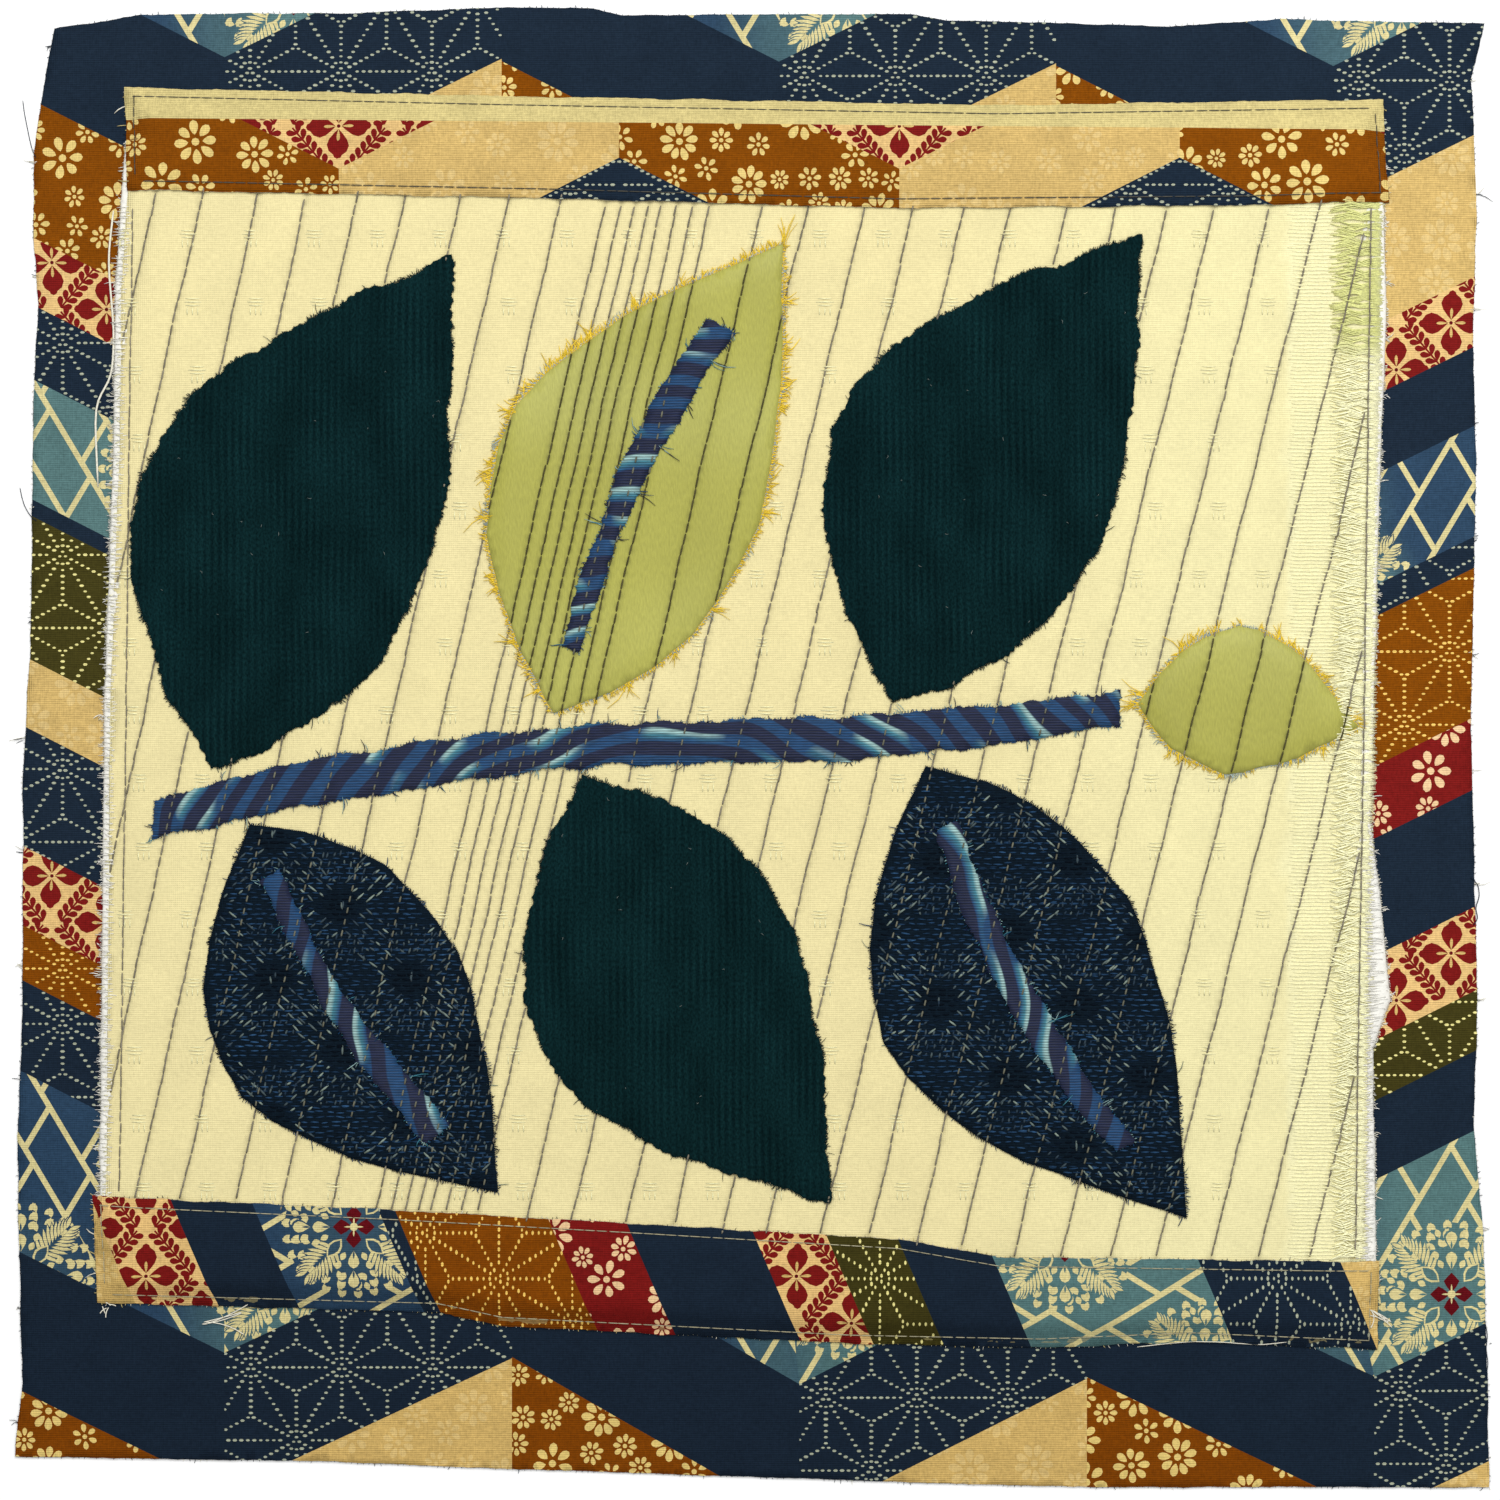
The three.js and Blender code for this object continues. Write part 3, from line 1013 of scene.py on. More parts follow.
def scattered(work, patch, pitch, shake, draw, margin):
    """Uneven spots over a patch, about one pitch apart."""
    shape = work.shapes[patch]
    points = mesh_points(shape, pitch, pitch)
    points = points + draw.uniform(-shake, shake, points.shape)
    return work.seen(points, patch, margin)


# Daisies; the parts of one are shares of its size
DAISY_PITCH = 5.6
DAISY_SHAKE = 1.6
DAISY_MARGIN = 2.0
DAISY_SMALL = (2.3, 3.0)
DAISY_LARGE = (3.8, 4.7)
DAISY_LARGE_SHARE = 0.45
DAISY_LEAST = 2.1
DAISY_GAP = 0.35
PETAL_COUNTS = (6, 9)
PETAL_START = 0.32
PETAL_LENGTHS = (0.6, 0.7)
PETAL_WIDTH = 0.4
PETAL_CROWDED = 1.14
DAISY_HEART = 0.18


def daisy(work, patch, x, y, size, colour, draw):
    """Ring of oval petals round a dot."""
    petals = int(draw.integers(*PETAL_COUNTS)) + int(size > DAISY_LARGE[0])
    first = draw.uniform(0, FULL_TURN)
    width = size * min(PETAL_WIDTH, PETAL_CROWDED * math.sin(math.pi / petals))
    for index in range(petals):
        angle = first + index * FULL_TURN / petals
        start = (x, y) + size * PETAL_START * toward(angle)
        length = size * draw.uniform(*PETAL_LENGTHS)
        work.motif(patch, petal(*start, length, width, angle, DAISY_PETAL), colour)
    work.motif(patch, oval(x, y, size * DAISY_HEART, size * DAISY_HEART), colour)


def daisies(work, patch, turn, draw, colour):
    """Large and small daisies that keep clear of each other."""
    spots = scattered(work, patch, DAISY_PITCH, DAISY_SHAKE, draw, DAISY_MARGIN)
    draw.shuffle(spots)
    placed = np.tile([FAR_AWAY, FAR_AWAY, 0], (len(spots), 1))
    for index, (x, y) in enumerate(spots):
        room = (np.hypot(placed[:, 0] - x, placed[:, 1] - y) - placed[:, 2]).min() - DAISY_GAP
        wanted = draw.uniform(*(DAISY_LARGE if draw.uniform() < DAISY_LARGE_SHARE else DAISY_SMALL))
        if room > DAISY_LEAST:
            size = min(wanted, room)
            placed[index] = x, y, size
            daisy(work, patch, x, y, size, colour, draw)


BLOSSOM_STEP = (11.4, 9.8)
BLOSSOM_PETAL = (6.2, 4.5)
BLOSSOM_SLIT = (2.5, 0.65)
BLOSSOM_MARGIN = 8.0
BLOSSOM_ROWS = 6
BLOSSOM_SHAKE = 0.06
BLOSSOM_START = 0.6
BLOSSOM_HEART = 0.4
SPRIG_PAIRS = 7
SPRIG_STEP = 1.7
SPRIG_LEAF = (2.5, 1.3)
SPRIG_SPLAY = 0.75
SPRIG_STEM = 0.4


def blossoms(work, patch, turn, draw, colour):
    """Four-petalled blossoms with leafy sprigs between them."""
    shape = work.shapes[patch]
    across, up = BLOSSOM_STEP
    start = np.array(work.anchors.get("blossom", shape.mean(0)))
    spots = []
    for row in range(-BLOSSOM_ROWS, BLOSSOM_ROWS):
        steps = np.arange(-BLOSSOM_ROWS, BLOSSOM_ROWS) * 2 + row % 2
        spots.extend(start + (step * across, row * up) for step in steps)
    for x, y in work.seen(np.array(spots), patch, BLOSSOM_MARGIN):
        for side in (-1, 1):
            heading = math.atan2(across, -side * up)
            sprig(work, patch, x + side * across / 2, y + up / 2, heading, colour)
        for quarter in range(4):
            angle = quarter * math.pi / 2 + draw.uniform(-BLOSSOM_SHAKE, BLOSSOM_SHAKE)
            start = (x, y) + BLOSSOM_START * toward(angle)
            work.motif(patch, petal(*start, *BLOSSOM_PETAL, angle, ACORN), colour)
            work.motif(patch, petal(*start, *BLOSSOM_SLIT, angle), PEACH)
        work.motif(patch, oval(x, y, BLOSSOM_HEART, BLOSSOM_HEART), RED_DARK)


def sprig(work, patch, x, y, heading, colour):
    """Stem of paired leaves about a middle place."""
    along = toward(heading)
    for step in range(SPRIG_PAIRS):
        spot = (x, y) + along * SPRIG_STEP * (step - SPRIG_PAIRS / 2)
        for side in (-1, 1):
            work.motif(patch, petal(*spot, *SPRIG_LEAF, heading + side * SPRIG_SPLAY), colour)
    reach = along * SPRIG_STEP * SPRIG_PAIRS / 2
    work.motif(patch, bar((x, y) - reach, (x, y) + reach, SPRIG_STEM), colour)


LATTICE_LEAN = math.radians(59)
LATTICE_GAP = 8.9
LATTICE_STEP = 16.5
LATTICE_LINE = 1.15
LATTICE_STEPS = 8
LATTICE_MARGIN = 4


def bar(a, b, width):
    """Straight bar between two points."""
    along = (b - a) / math.dist(a, b)
    side = np.array([-along[1], along[0]]) * width / 2
    return np.array([a - side, b - side, b + side, a + side])


def lattice(work, patch, turn, draw, colour):
    """Brick lattice on the slant."""
    shape = work.shapes[patch]
    middle = work.anchors.get("lattice", shape.mean(0))
    reach = np.hypot(*(shape - middle).T).max()
    flip = (1, -1) if work.side > 0 else (1, 1)
    run = np.array([math.cos(LATTICE_LEAN), -math.sin(LATTICE_LEAN)]) * flip
    along, link = turned([run, run * (1, -1)], turn)
    side = np.array([-along[1], along[0]])
    link = link / (link @ side) * LATTICE_GAP
    pieces = int(reach / LATTICE_GAP) + 1
    for row in range(-pieces, pieces + 1):
        line = middle + side * row * LATTICE_GAP
        for step in range(-LATTICE_STEPS, LATTICE_STEPS):
            shift = (step + (row % 2) / 2) * LATTICE_STEP
            start = line + along * shift
            stop = start + along * LATTICE_STEP
            if len(work.seen(np.array([start, (start + stop) / 2, stop]), patch, LATTICE_MARGIN)):
                for end in (stop, start + link):
                    work.motif(patch, spaced(bar(start, end, LATTICE_LINE), OUTLINE_STEP), colour)


# Round sprays; reaches, lengths and widths are shares of the radius
SPRAY_MARGIN = 1.5
SPRAY_HEART = 0.06
# Leaves round the rim: reach, how many, length and width
SPRAY_RIMS = ((0.66, 36, 0.15, 0.085), (0.79, 44, 0.15, 0.085), (0.92, 52, 0.14, 0.08))
SPRAY_LEAN = 0.65
# Feathers on the diagonals, which open less and less from leaf to leaf
FEATHER_PAIRS = 10
FEATHER_START = 0.42
FEATHER_STEP = 0.056
FEATHER_ASIDE = 0.02
FEATHER_LENGTH = 0.3
FEATHER_LONGEST = 3
FEATHER_TAPER = 0.02
FEATHER_SPLAY = 1.15
FEATHER_CLOSING = 0.08
FEATHER_WIDTH = 0.055
FEATHER_BED = 0.085
FEATHER_GAP = 0.02
# Reach, length and width of the wide leaf on a diagonal and of its middle
WIDE_LEAF = (0.24, 0.34, 0.2)
WIDE_LEAF_MIDDLE = (0.27, 0.28, 0.14)
WIDE_LEAF_LEAN = 0.1
# Buds on the axes, with a reach, a step aside and a splay for the leaves beside them
SPRAY_BUDS = (0.34, 0.62)
BUD_LEAVES = ((0.04, 0.11, 0.5), (0.18, 0.13, 0.4))
BUD_LEAF = (0.13, 0.09)
BUD_GAP = 0.02
BUD_BED = (0.3, 0.22)
BUD = (0.25, 0.16)
BUD_SLIT = (0.12, 0.03)
# Reach, length and width of the petals of the middle blossom and of their slits
HEART_PETAL = (0.02, 0.28, 0.22)
HEART_SLIT = (0.03, 0.11, 0.025)


def medallion(work, patch, x, y, radius):
    """Round spray of cream buds and leaves about a red blossom."""
    ground = work.tints[patch]
    leaves = []

    def put(angle, heading, reach, length, width, colour=MOTIF_CREAM, stations=LEAF):
        """A leaf at an angle and a reach from the middle."""
        start = (x, y) + radius * reach * toward(angle)
        leaves.append((petal(*start, radius * length, radius * width, heading, stations), colour))

    for reach, count, length, width in SPRAY_RIMS:
        for step in range(count):
            angle = step * FULL_TURN / count
            put(angle, angle + (SPRAY_LEAN if step % 2 else -SPRAY_LEAN), reach, length, width)
    for quarter in range(4):
        axis = quarter * math.pi / 2
        diagonal = axis + math.pi / 4
        for step in range(FEATHER_PAIRS):
            reach = FEATHER_START + FEATHER_STEP * step
            length = FEATHER_LENGTH - FEATHER_TAPER * abs(step - FEATHER_LONGEST)
            for side in (-1, 1):
                angle = diagonal + side * FEATHER_ASIDE
                heading = diagonal + side * (FEATHER_SPLAY - FEATHER_CLOSING * step)
                put(angle, heading, reach, length + FEATHER_GAP, FEATHER_BED, ground)
                put(angle, heading, reach, length, FEATHER_WIDTH)
        put(diagonal, diagonal + WIDE_LEAF_LEAN, *WIDE_LEAF)
        put(diagonal, diagonal + WIDE_LEAF_LEAN, *WIDE_LEAF_MIDDLE, ground)
        for reach in SPRAY_BUDS:
            for side in (-1, 1):
                for out, aside, splay in BUD_LEAVES:
                    put(axis + side * aside / reach, axis + side * splay, reach + out, *BUD_LEAF)
            put(axis, axis, reach - BUD_GAP, *BUD_BED, ground, DROP)
            put(axis, axis, reach, *BUD, MOTIF_CREAM, DROP)
            put(axis, axis, reach, *BUD_SLIT, ground)
        put(axis, axis, *HEART_PETAL, RED_DARK, LOZENGE)
        put(axis, axis, *HEART_SLIT)
    hearts = np.array([shape.mean(0) for shape, _ in leaves])
    kept = {tuple(heart) for heart in work.seen(hearts, patch, SPRAY_MARGIN)}
    for heart, (shape, colour) in zip(hearts, leaves):
        if tuple(heart) in kept:
            work.motif(patch, shape, colour)
    work.motif(patch, oval(x, y, radius * SPRAY_HEART, radius * SPRAY_HEART), MOTIF_CREAM)


# Ground, motifs and the colour of the motifs for each kind of patch
KINDS = {
    "navy": (NAVY, None, None),
    "navy_star": (NAVY, star_dots, DOT_ON_NAVY),
    "olive_star": (OLIVE, star_dots, DOT_ON_OLIVE),
    "ochre_star": (OCHRE, star_dots, DOT_ON_OCHRE),
    "ochre_daisy": (OCHRE, daisies, DAISY_GOLD),
    "red_daisy": (RED, daisies, DAISY_ROSE),
    "peach": (PEACH, daisies, PEACH_PALE),
    "red_blossom": (BLOSSOM_GROUND, blossoms, RED),
    "blue_lattice": (BLUE, lattice, MOTIF_CREAM),
    "teal_lattice": (TEAL, lattice, MOTIF_CREAM),
    "selvedge": (SELVEDGE, None, None),
}
PATCH_STEP = 4
PATCH_MARGIN = 0.5
BASE_SEED, TOP_SEED, BOTTOM_SEED = 61, 62, 63


def lay_patch(work, kind, shape, draw, turn=0.0):
    """One patch of the print with its motifs."""
    ground, fill_in, colour = KINDS[kind]
    patch = work.ground(shape, ground)
    if fill_in and len(work.seen(spaced(work.shapes[patch], PATCH_STEP), patch, PATCH_MARGIN)):
        fill_in(work, patch, turn, draw, colour)
    return patch


# The chevron print of the base, band by band down each slope
CHEVRON_VALLEYS = (-109.6, 5.6, 120.8)
CHEVRON_HALF = 57.6
CHEVRON_SLOPE = 0.5
CHEVRON_TILT = -0.008
CHEVRON_TILT_FROM = -150
LEFT_BANDS = (
    (200, "blue_lattice"),
    (143.7, "navy"),
    (114.5, "ochre_daisy"),
    (86, "red_blossom"),
    (72, "navy_star"),
    (56.5, "teal_lattice"),
    (31.5, "navy"),
    (28, "olive_star"),
    (-2, "peach"),
    (-16.5, "navy_star"),
    (-41.5, "red_blossom"),
    (-58, "ochre_star"),
    (-69.5, "navy_star"),
    (-88.5, "blue_lattice"),
    (-125.5, "navy"),
    (-154.2, "ochre_daisy"),
    (-220, "end"),
)
RIGHT_BANDS = (
    (200, "teal_lattice"),
    (143.7, "navy_star"),
    (115, "peach"),
    (85.5, "red_blossom"),
    (71, "navy"),
    (54.5, "blue_lattice"),
    (31.5, "navy_star"),
    (25, "ochre_star"),
    (-6, "red_daisy"),
    (-21, "navy"),
    (-45.5, "red_blossom"),
    (-63, "olive_star"),
    (-75.5, "navy"),
    (-92, "teal_lattice"),
    (-125.5, "navy_star"),
    (-154.5, "peach"),
    (-220, "end"),
)
# Round sprays: place, radius and how far a blue ground turns teal about them
BASE_MEDALLIONS = (
    (145.4, -113.7, 15.0, 0.85),
    (-152, -110, 15.0, 0.2),
    (-121, -84, 15.0, 0.2),
    (-121, 57, 14.5, 0.85),
    (-95.3, 156.6, 15.0, 0.85),
    (19.9, 156.6, 15.0, 0.85),
    (135.1, 156, 15.0, 0.85),
    (123, 32, 14.5, 0.85),
    (-97, -111, 15.0, 0.85),
    (19.9, -112, 15.0, 0.5),
)


def lay_medallions(work, patch, kind, spots):
    """The round sprays that fall on a lattice patch."""
    for x, y, radius, teal in spots:
        circle = oval(x, y, radius, radius, corners=20)
        if kind.endswith("lattice") and np.any(within(*circle.T, work.shapes[patch])):
            work.sprays.append((x, y, teal))
            work.motif(patch, circle, KINDS[kind][0])
            medallion(work, patch, x, y, radius)


# The lower bands lie a little wider than the upper ones, and sag towards the right
CHEVRON_SPREAD = 0.037
CHEVRON_SPREAD_BELOW = -120
CHEVRON_SAG = ((-109.6, 0), (-52, -0.5), (5.6, -5.6), (63.2, -3.8), (120.8, -3.1))


def chevron_place(x, band, valley):
    """A place on a band's edge, at its distance from the valley."""
    y = band + CHEVRON_SLOPE * abs(x - valley) + CHEVRON_TILT * (x - CHEVRON_TILT_FROM)
    if band > CHEVRON_SPREAD_BELOW:
        return np.array([x, y])
    wider = CHEVRON_SPREAD * (x - CHEVRON_VALLEYS[0])
    return np.array([x + wider, y + np.interp(x, *np.array(CHEVRON_SAG).T)])


# How far from the valley and below the band's upper edge a motif of each kind has its middle
MOTIF_ANCHORS = {"star": (5.3, 5.6), "blossom": (24.5, 7.2), "lattice": (17.8, 8.6)}


def chevron_slope(work, bands, valley, side, draw):
    """The bands on one side of a valley."""
    far = valley + side * CHEVRON_HALF
    work.side = side
    for (upper, kind), (lower, _) in zip(bands, bands[1:]):
        for motif, (reach, drop) in MOTIF_ANCHORS.items():
            work.anchors[motif] = chevron_place(valley + side * reach, upper, valley) - (0, drop)
        edges = ((upper, valley), (lower, valley), (lower, far), (upper, far))
        corners = [chevron_place(x, band, valley) for band, x in edges]
        patch = lay_patch(work, kind, corners, draw)
        lay_medallions(work, patch, kind, BASE_MEDALLIONS)


def base_print():
    """The print of the base cloth."""
    covers = [LOOPS[node] for node in ("batting", *STRIPS)]
    work = Print(covers)
    work.valleys = CHEVRON_VALLEYS
    draw = np.random.default_rng(BASE_SEED)
    for valley in CHEVRON_VALLEYS:
        chevron_slope(work, LEFT_BANDS, valley, -1, draw)
        chevron_slope(work, RIGHT_BANDS, valley, 1, draw)
    return work


TOP_VALLEYS = (-85.5, 30.5, 146.5)
TOP_PERIOD = 116
TOP_BLOSSOM = 128.5
TOP_LEVELS = (170, 119.7, 93, 50)
TOP_SELVEDGE = ((-140, 130.3), (140, 127.7), (140, 150), (-140, 150))


def top_print():
    """The print of the top strip: wide chevrons under a plain selvedge."""
    work = Print()
    draw = np.random.default_rng(TOP_SEED)
    lift = CHEVRON_SLOPE * TOP_PERIOD / 2
    for valley in TOP_VALLEYS:
        work.anchors["blossom"] = (valley, TOP_BLOSSOM)
        for side, kind in ((-1, "ochre_daisy"), (1, "peach")):
            far = valley + side * TOP_PERIOD / 2
            for name, upper, lower in zip(("red_blossom", kind, "navy_star"), TOP_LEVELS, TOP_LEVELS[1:]):
                corners = ((valley, upper), (valley, lower), (far, lower + lift), (far, upper + lift))
                lay_patch(work, name, corners, draw)
    lay_patch(work, "selvedge", TOP_SELVEDGE, draw)
    return work


BOTTOM_LEAN = 0.43
BOTTOM_TOP = -92
BOTTOM_LOW = -128
BOTTOM_PATCHES = (
    (-170, "peach"),
    (-138, "red_blossom"),
    (-121.1, "navy"),
    (-104.5, "blue_lattice"),
    (-79, "navy_star"),
    (-75.6, "ochre_star"),
    (-44.6, "red_daisy"),
    (-28.8, "navy"),
    (-3.4, "red_blossom"),
    (11.5, "olive_star"),
    (26, "navy"),
    (44, "teal_lattice"),
    (86.3, "navy_star"),
    (115.6, "peach"),
    (170, "end"),
)
BOTTOM_MEDALLIONS = ((-82.4, -99.3, 14.5, 0.2), (64.8, -102.3, 14.5, 0.85), (94, -128.9, 14.5, 0.85))
BOTTOM_BLOSSOM = (12.6, -17.5)


def bottom_print():
    """The print of the bottom strip: the same bands turned on end."""
    work = Print()
    draw = np.random.default_rng(BOTTOM_SEED)
    run = BOTTOM_LEAN * (BOTTOM_TOP - BOTTOM_LOW)
    for (left, kind), (right, _) in zip(BOTTOM_PATCHES, BOTTOM_PATCHES[1:]):
        corners = (
            (left, BOTTOM_TOP),
            (left + run, BOTTOM_LOW),
            (right + run, BOTTOM_LOW),
            (right, BOTTOM_TOP),
        )
        work.anchors["blossom"] = (left + BOTTOM_BLOSSOM[0], BOTTOM_TOP + BOTTOM_BLOSSOM[1])
        patch = lay_patch(work, kind, corners, draw, math.pi / 2)
        lay_medallions(work, patch, kind, BOTTOM_MEDALLIONS)
    return work


# Colours of the plain cloths, with painted shade in the stitched troughs and between the corduroy's ridges,
# painted highlight on the ridges and a painted sheen on the lime; a mottle or a spread of sheen is its
# strength, its span and the seed of its run
CREAM_FAR_FROM = 30
CREAM_FAR_REACH = 75
CREAM_MOTTLE = (0.02, 26, 41)
CREAM_TROUGH = (0.12, 0.2)
RIB_BAND_FADE = 1.2
LIME_SHEEN_PATCHES = (0.5, 60, 42)
LIME_SHEEN_MEAN = 0.35
LIME_SHEEN_MOST = 0.6
LIME_TROUGH = (0.15, 0.25)


def cream_dye_and_trough_shade(x, y):
    """Cream, lighter towards the right, with painted shade greying the stitched troughs."""
    colours = blend(CREAM, CREAM_FAR, ease((x - CREAM_FAR_FROM) / CREAM_FAR_REACH))
    colours = blend(colours, CREAM_LIGHT, ease((x - RIB_BAND_LEFT) / RIB_BAND_FADE + 1))
    light = (1 + waves(x, y, CREAM_MOTTLE)) * trough_light(x, y, *CREAM_TROUGH)
    return colours * light[:, None]


def lime_dye_sheen_and_shade(x, y):
    """Lime, with paler patches of painted sheen and painted shade in the troughs."""
    pale = LIME_SHEEN_MOST * ease(LIME_SHEEN_MEAN + waves(x, y, LIME_SHEEN_PATCHES))
    return blend(LIME, LIME_PAINTED_SHEEN, pale) * trough_light(x, y, *LIME_TROUGH)[:, None]


def cord_dye_and_wale_shading(x, y):
    """Painted shade between the ridges and painted highlight on them."""
    return blend(CORD_LOW, CORD_HIGH, 0.5 + 0.5 * wale(x, y))


def one_dye(colour):
    """The same colour all over."""
    return lambda x, y: np.tile(colour, (len(x), 1))


# Fringes of loose threads; some leave the edge only where it faces sideways
ENDS = 0.8
SIDES = 0.35
WHITES = (FLEECE_WHITE, WHITE_THREAD)
SILKS = (SILK_BLUE, SILK_NIGHT, SILK_AQUA, SILK_PALE)
FRAY_STATIONS = (-0.25, 0.2, 0.6, 1.0)
FRAY_SHAKE = 0.3
FRAY_CURL = 0.35
FRAY_LIFT = 0.16
FRAY_LOFT = 0.25
FRAY_ROOT = 0.05
BASE_FRAY_DROP = 0.2
FRAY_CLUMPS = (0.75, 11)
FRAY_CLUMP_MEAN = 0.55
FRAY_CLUMP_MOST = 1.3
FRAY_CUTS = (0.4, 1.0)
FRAY_SHADES = (0.75, 1.1)
FRAY_WIDTHS = (0.7, 1.2)
# Gap, reach, tints, half thickness, and where they count: grain, facing, tuft, stray, least clump
FRAYS = {
    "base_cloth": (
        (1.3, (0.3, 0.9), (NAVY, NAVY, BLUE, WHITE_THREAD), 0.07),
        (24.0, (1.2, 3.2), (WHITE_THREAD, NAVY), 0.09, 0.3, ENDS, 3),
    ),
    "batting": (
        (0.3, (0.3, 1.0), WHITES, 0.1, 0.5, ENDS),
        (6.0, (1.2, 2.4), WHITES, 0.09, 0.6, ENDS, 4),
    ),
    "top_strip": (
        (0.8, (0.3, 0.9), (WHITE_THREAD, SELVEDGE, NAVY), 0.08, 0.3, ENDS),
        (4.0, (1.0, 3.5), (WHITE_THREAD, SELVEDGE), 0.12, 0.3, ENDS),
    ),
    "bottom_strip": (
        (0.8, (0.3, 1.0), (WHITE_THREAD, SELVEDGE, NAVY), 0.08, 0.3),
        (4.0, (1.0, 3.5), (WHITE_THREAD, SELVEDGE), 0.12, 0.3, ENDS),
    ),
    "cord": (
        (0.28, (0.4, 1.1), (CORD_FUZZ, CORD_HIGH, CORD_LOW), 0.1, 0.1),
        (12.0, (1.2, 3.0), (CORD_FUZZ, CORD_HIGH), 0.08, 0.2),
    ),
    "satin": (
        (0.2, (1.6, 3.6), (FRAY_YELLOW,), 0.11, 0.9, SIDES, 1, 0.1, 0.45),
        (0.26, (0.9, 1.9), (FRAY_PALE_BLUE,), 0.1, 0.7, 0.0, 1, 0.15, 0.4),
        (11.0, (3.0, 6.5), (FRAY_YELLOW,), 0.1, 0.9, SIDES, 9, 0.12),
    ),
    "indigo": (
        (0.4, (0.4, 1.5), (INDIGO, INDIGO, INDIGO_BLUE), 0.11, 0.8),
        (10.0, (1.5, 3.5), (INDIGO_BLUE, INDIGO_PALE), 0.1, 0.8),
    ),
    "silk": (
        (0.5, (0.2, 1.0), SILKS, 0.1),
        (11.0, (1.5, 4.5), SILKS, 0.09, 0.0, 0.0, 3),
    ),
}


def fringe(
    node, loop, seed, gap, reach, tints, width, grain=0.0, facing=0.0, tuft=1, stray=0.25, least=0.12
):
    """Fibres, alone or in tufts, that leave a raw edge and settle on the cloth below."""
    draw = np.random.default_rng(seed)
    points = spaced(loop, gap)
    around = np.hypot(*(np.roll(points, -1, axis=0) - points).T).sum()
    stride = max(1, round(gap * len(points) / around))
    starts = np.repeat(points[::stride], tuft, axis=0)
    starts = starts + draw.normal(0, FRAY_SHAKE, starts.shape) * (tuft > 1)
    heading = np.repeat(outward(points)[::stride], tuft, axis=0)
    at_ends = np.abs(heading[:, 0]) >= facing
    starts, heading = starts[at_ends], heading[at_ends]
    count = len(starts)
    if grain:
        sideways = np.abs(heading[:, 0]) > np.abs(heading[:, 1])
        axis = np.where(sideways[:, None], [1.0, 0.0], [0.0, 1.0]) * np.sign(heading)
        heading = heading * (1 - grain) + axis * grain
    heading = heading + draw.normal(0, stray, heading.shape)
    heading /= np.linalg.norm(heading, axis=1)[:, None]
    clumps = FRAY_CLUMP_MEAN + waves(*starts.T, (*FRAY_CLUMPS, seed))
    clumps = np.clip(clumps, least, FRAY_CLUMP_MOST)
    lengths = draw.uniform(*reach, count) * draw.uniform(*FRAY_CUTS, count) * clumps
    curl = draw.normal(0, FRAY_CURL, count)
    aside = np.column_stack([-heading[:, 1], heading[:, 0]])
    paths = np.empty((count, len(FRAY_STATIONS), 3))
    for step, share in enumerate(FRAY_STATIONS):
        run = (share * lengths)[:, None]
        spot = starts + heading * run + aside * run * (curl * max(share, 0))[:, None]
        loft = FRAY_LIFT + FRAY_LOFT * draw.uniform(0, 1, count) * share
        paths[:, step, :2] = spot
        paths[:, step, 2] = lower_of(node, *spot.T) + loft
    paths[:, 0, 2] = TOPS[node](*paths[:, 0, :2].T) - FRAY_ROOT
    colours = np.asarray(tints)[draw.integers(0, len(tints), count)]
    colours = varied(colours, FRAY_SHADES, count, draw)
    return paths, width * draw.uniform(*FRAY_WIDTHS, count), colours


def frayed(kind, node, loop, seed):
    """One mesh of the fringes along a cloth's edge."""
    runs = [fringe(node, loop, seed + index, *fray) for index, fray in enumerate(FRAYS[kind])]
    paths, widths, colours = (np.concatenate(parts) for parts in zip(*runs))
    return threads(node + "_fray", paths, widths, colours)


def lower_of(node, x, y):
    """Height of what lies under the edge of a cloth."""
    if node == "base_cloth":
        return np.where(within(x, y, LOOPS[node]), base_top(x, y) - BASE_FRAY_DROP, 0.0)
    if node == "batting":
        return base_top(x, y)
    if node in RIBS:
        leaf = node.removesuffix("_rib")
        return np.where(within(x, y, LOOPS[leaf]), TOPS[leaf](x, y), panel_top(x, y))
    return ground_top(x, y) if node.endswith("_strip") or node == "cream_panel" else panel_top(x, y)


# Slot, thickness, rim and back of each kind of cloth, and the step and wander of its cut edge
CLOTHS = {
    "base_cloth": ("print_cloth", 0, NAVY, NAVY, 1.2, 0.15),
    "batting": ("fleece", 0.7, FLEECE_WHITE, FLEECE_WHITE, 1.0, 0.2),
    "cream_panel": ("cream_cloth", 0.35, CREAM, CREAM, 1.2, 0.12),
    "top_strip": ("print_cloth", 0.35, WHITE_THREAD * 0.7, NAVY, 1.0, 0.18),
    "bottom_strip": ("print_cloth", 0.35, WHITE_THREAD * 0.7, NAVY, 1.0, 0.18),
    "cord": ("cord_cloth", 0.4, CORD_FUZZ, CORD_LOW, 0.7, 0.75),
    "satin": ("satin_cloth", 0.35, FRAY_YELLOW, LIME, 0.8, 0.15),
    "indigo": ("indigo_cloth", 0.35, INDIGO_BLUE, INDIGO, 0.8, 0.15),
    "silk": ("silk_cloth", 0.3, SILK_BLUE, SILK_BLUE, 0.6, 0.6),
}


def lay_cloth(kind, node, places, colouring, seed, fray_seed=None, more=None):
    """A cloth with its raw edge, its fringes and whatever else is worked into it."""
    slot, thickness, rim, back, step, wander = CLOTHS[kind]
    loop = cut_edge(LOOPS[node], step, wander, seed)
    made = cloth(node, loop, places(node, loop), colouring, slot, thickness, rim, back)
    pieces = [frayed(kind, node, loop, fray_seed)] if fray_seed else []
    pieces.extend(more(node, loop, seed) if more else [])


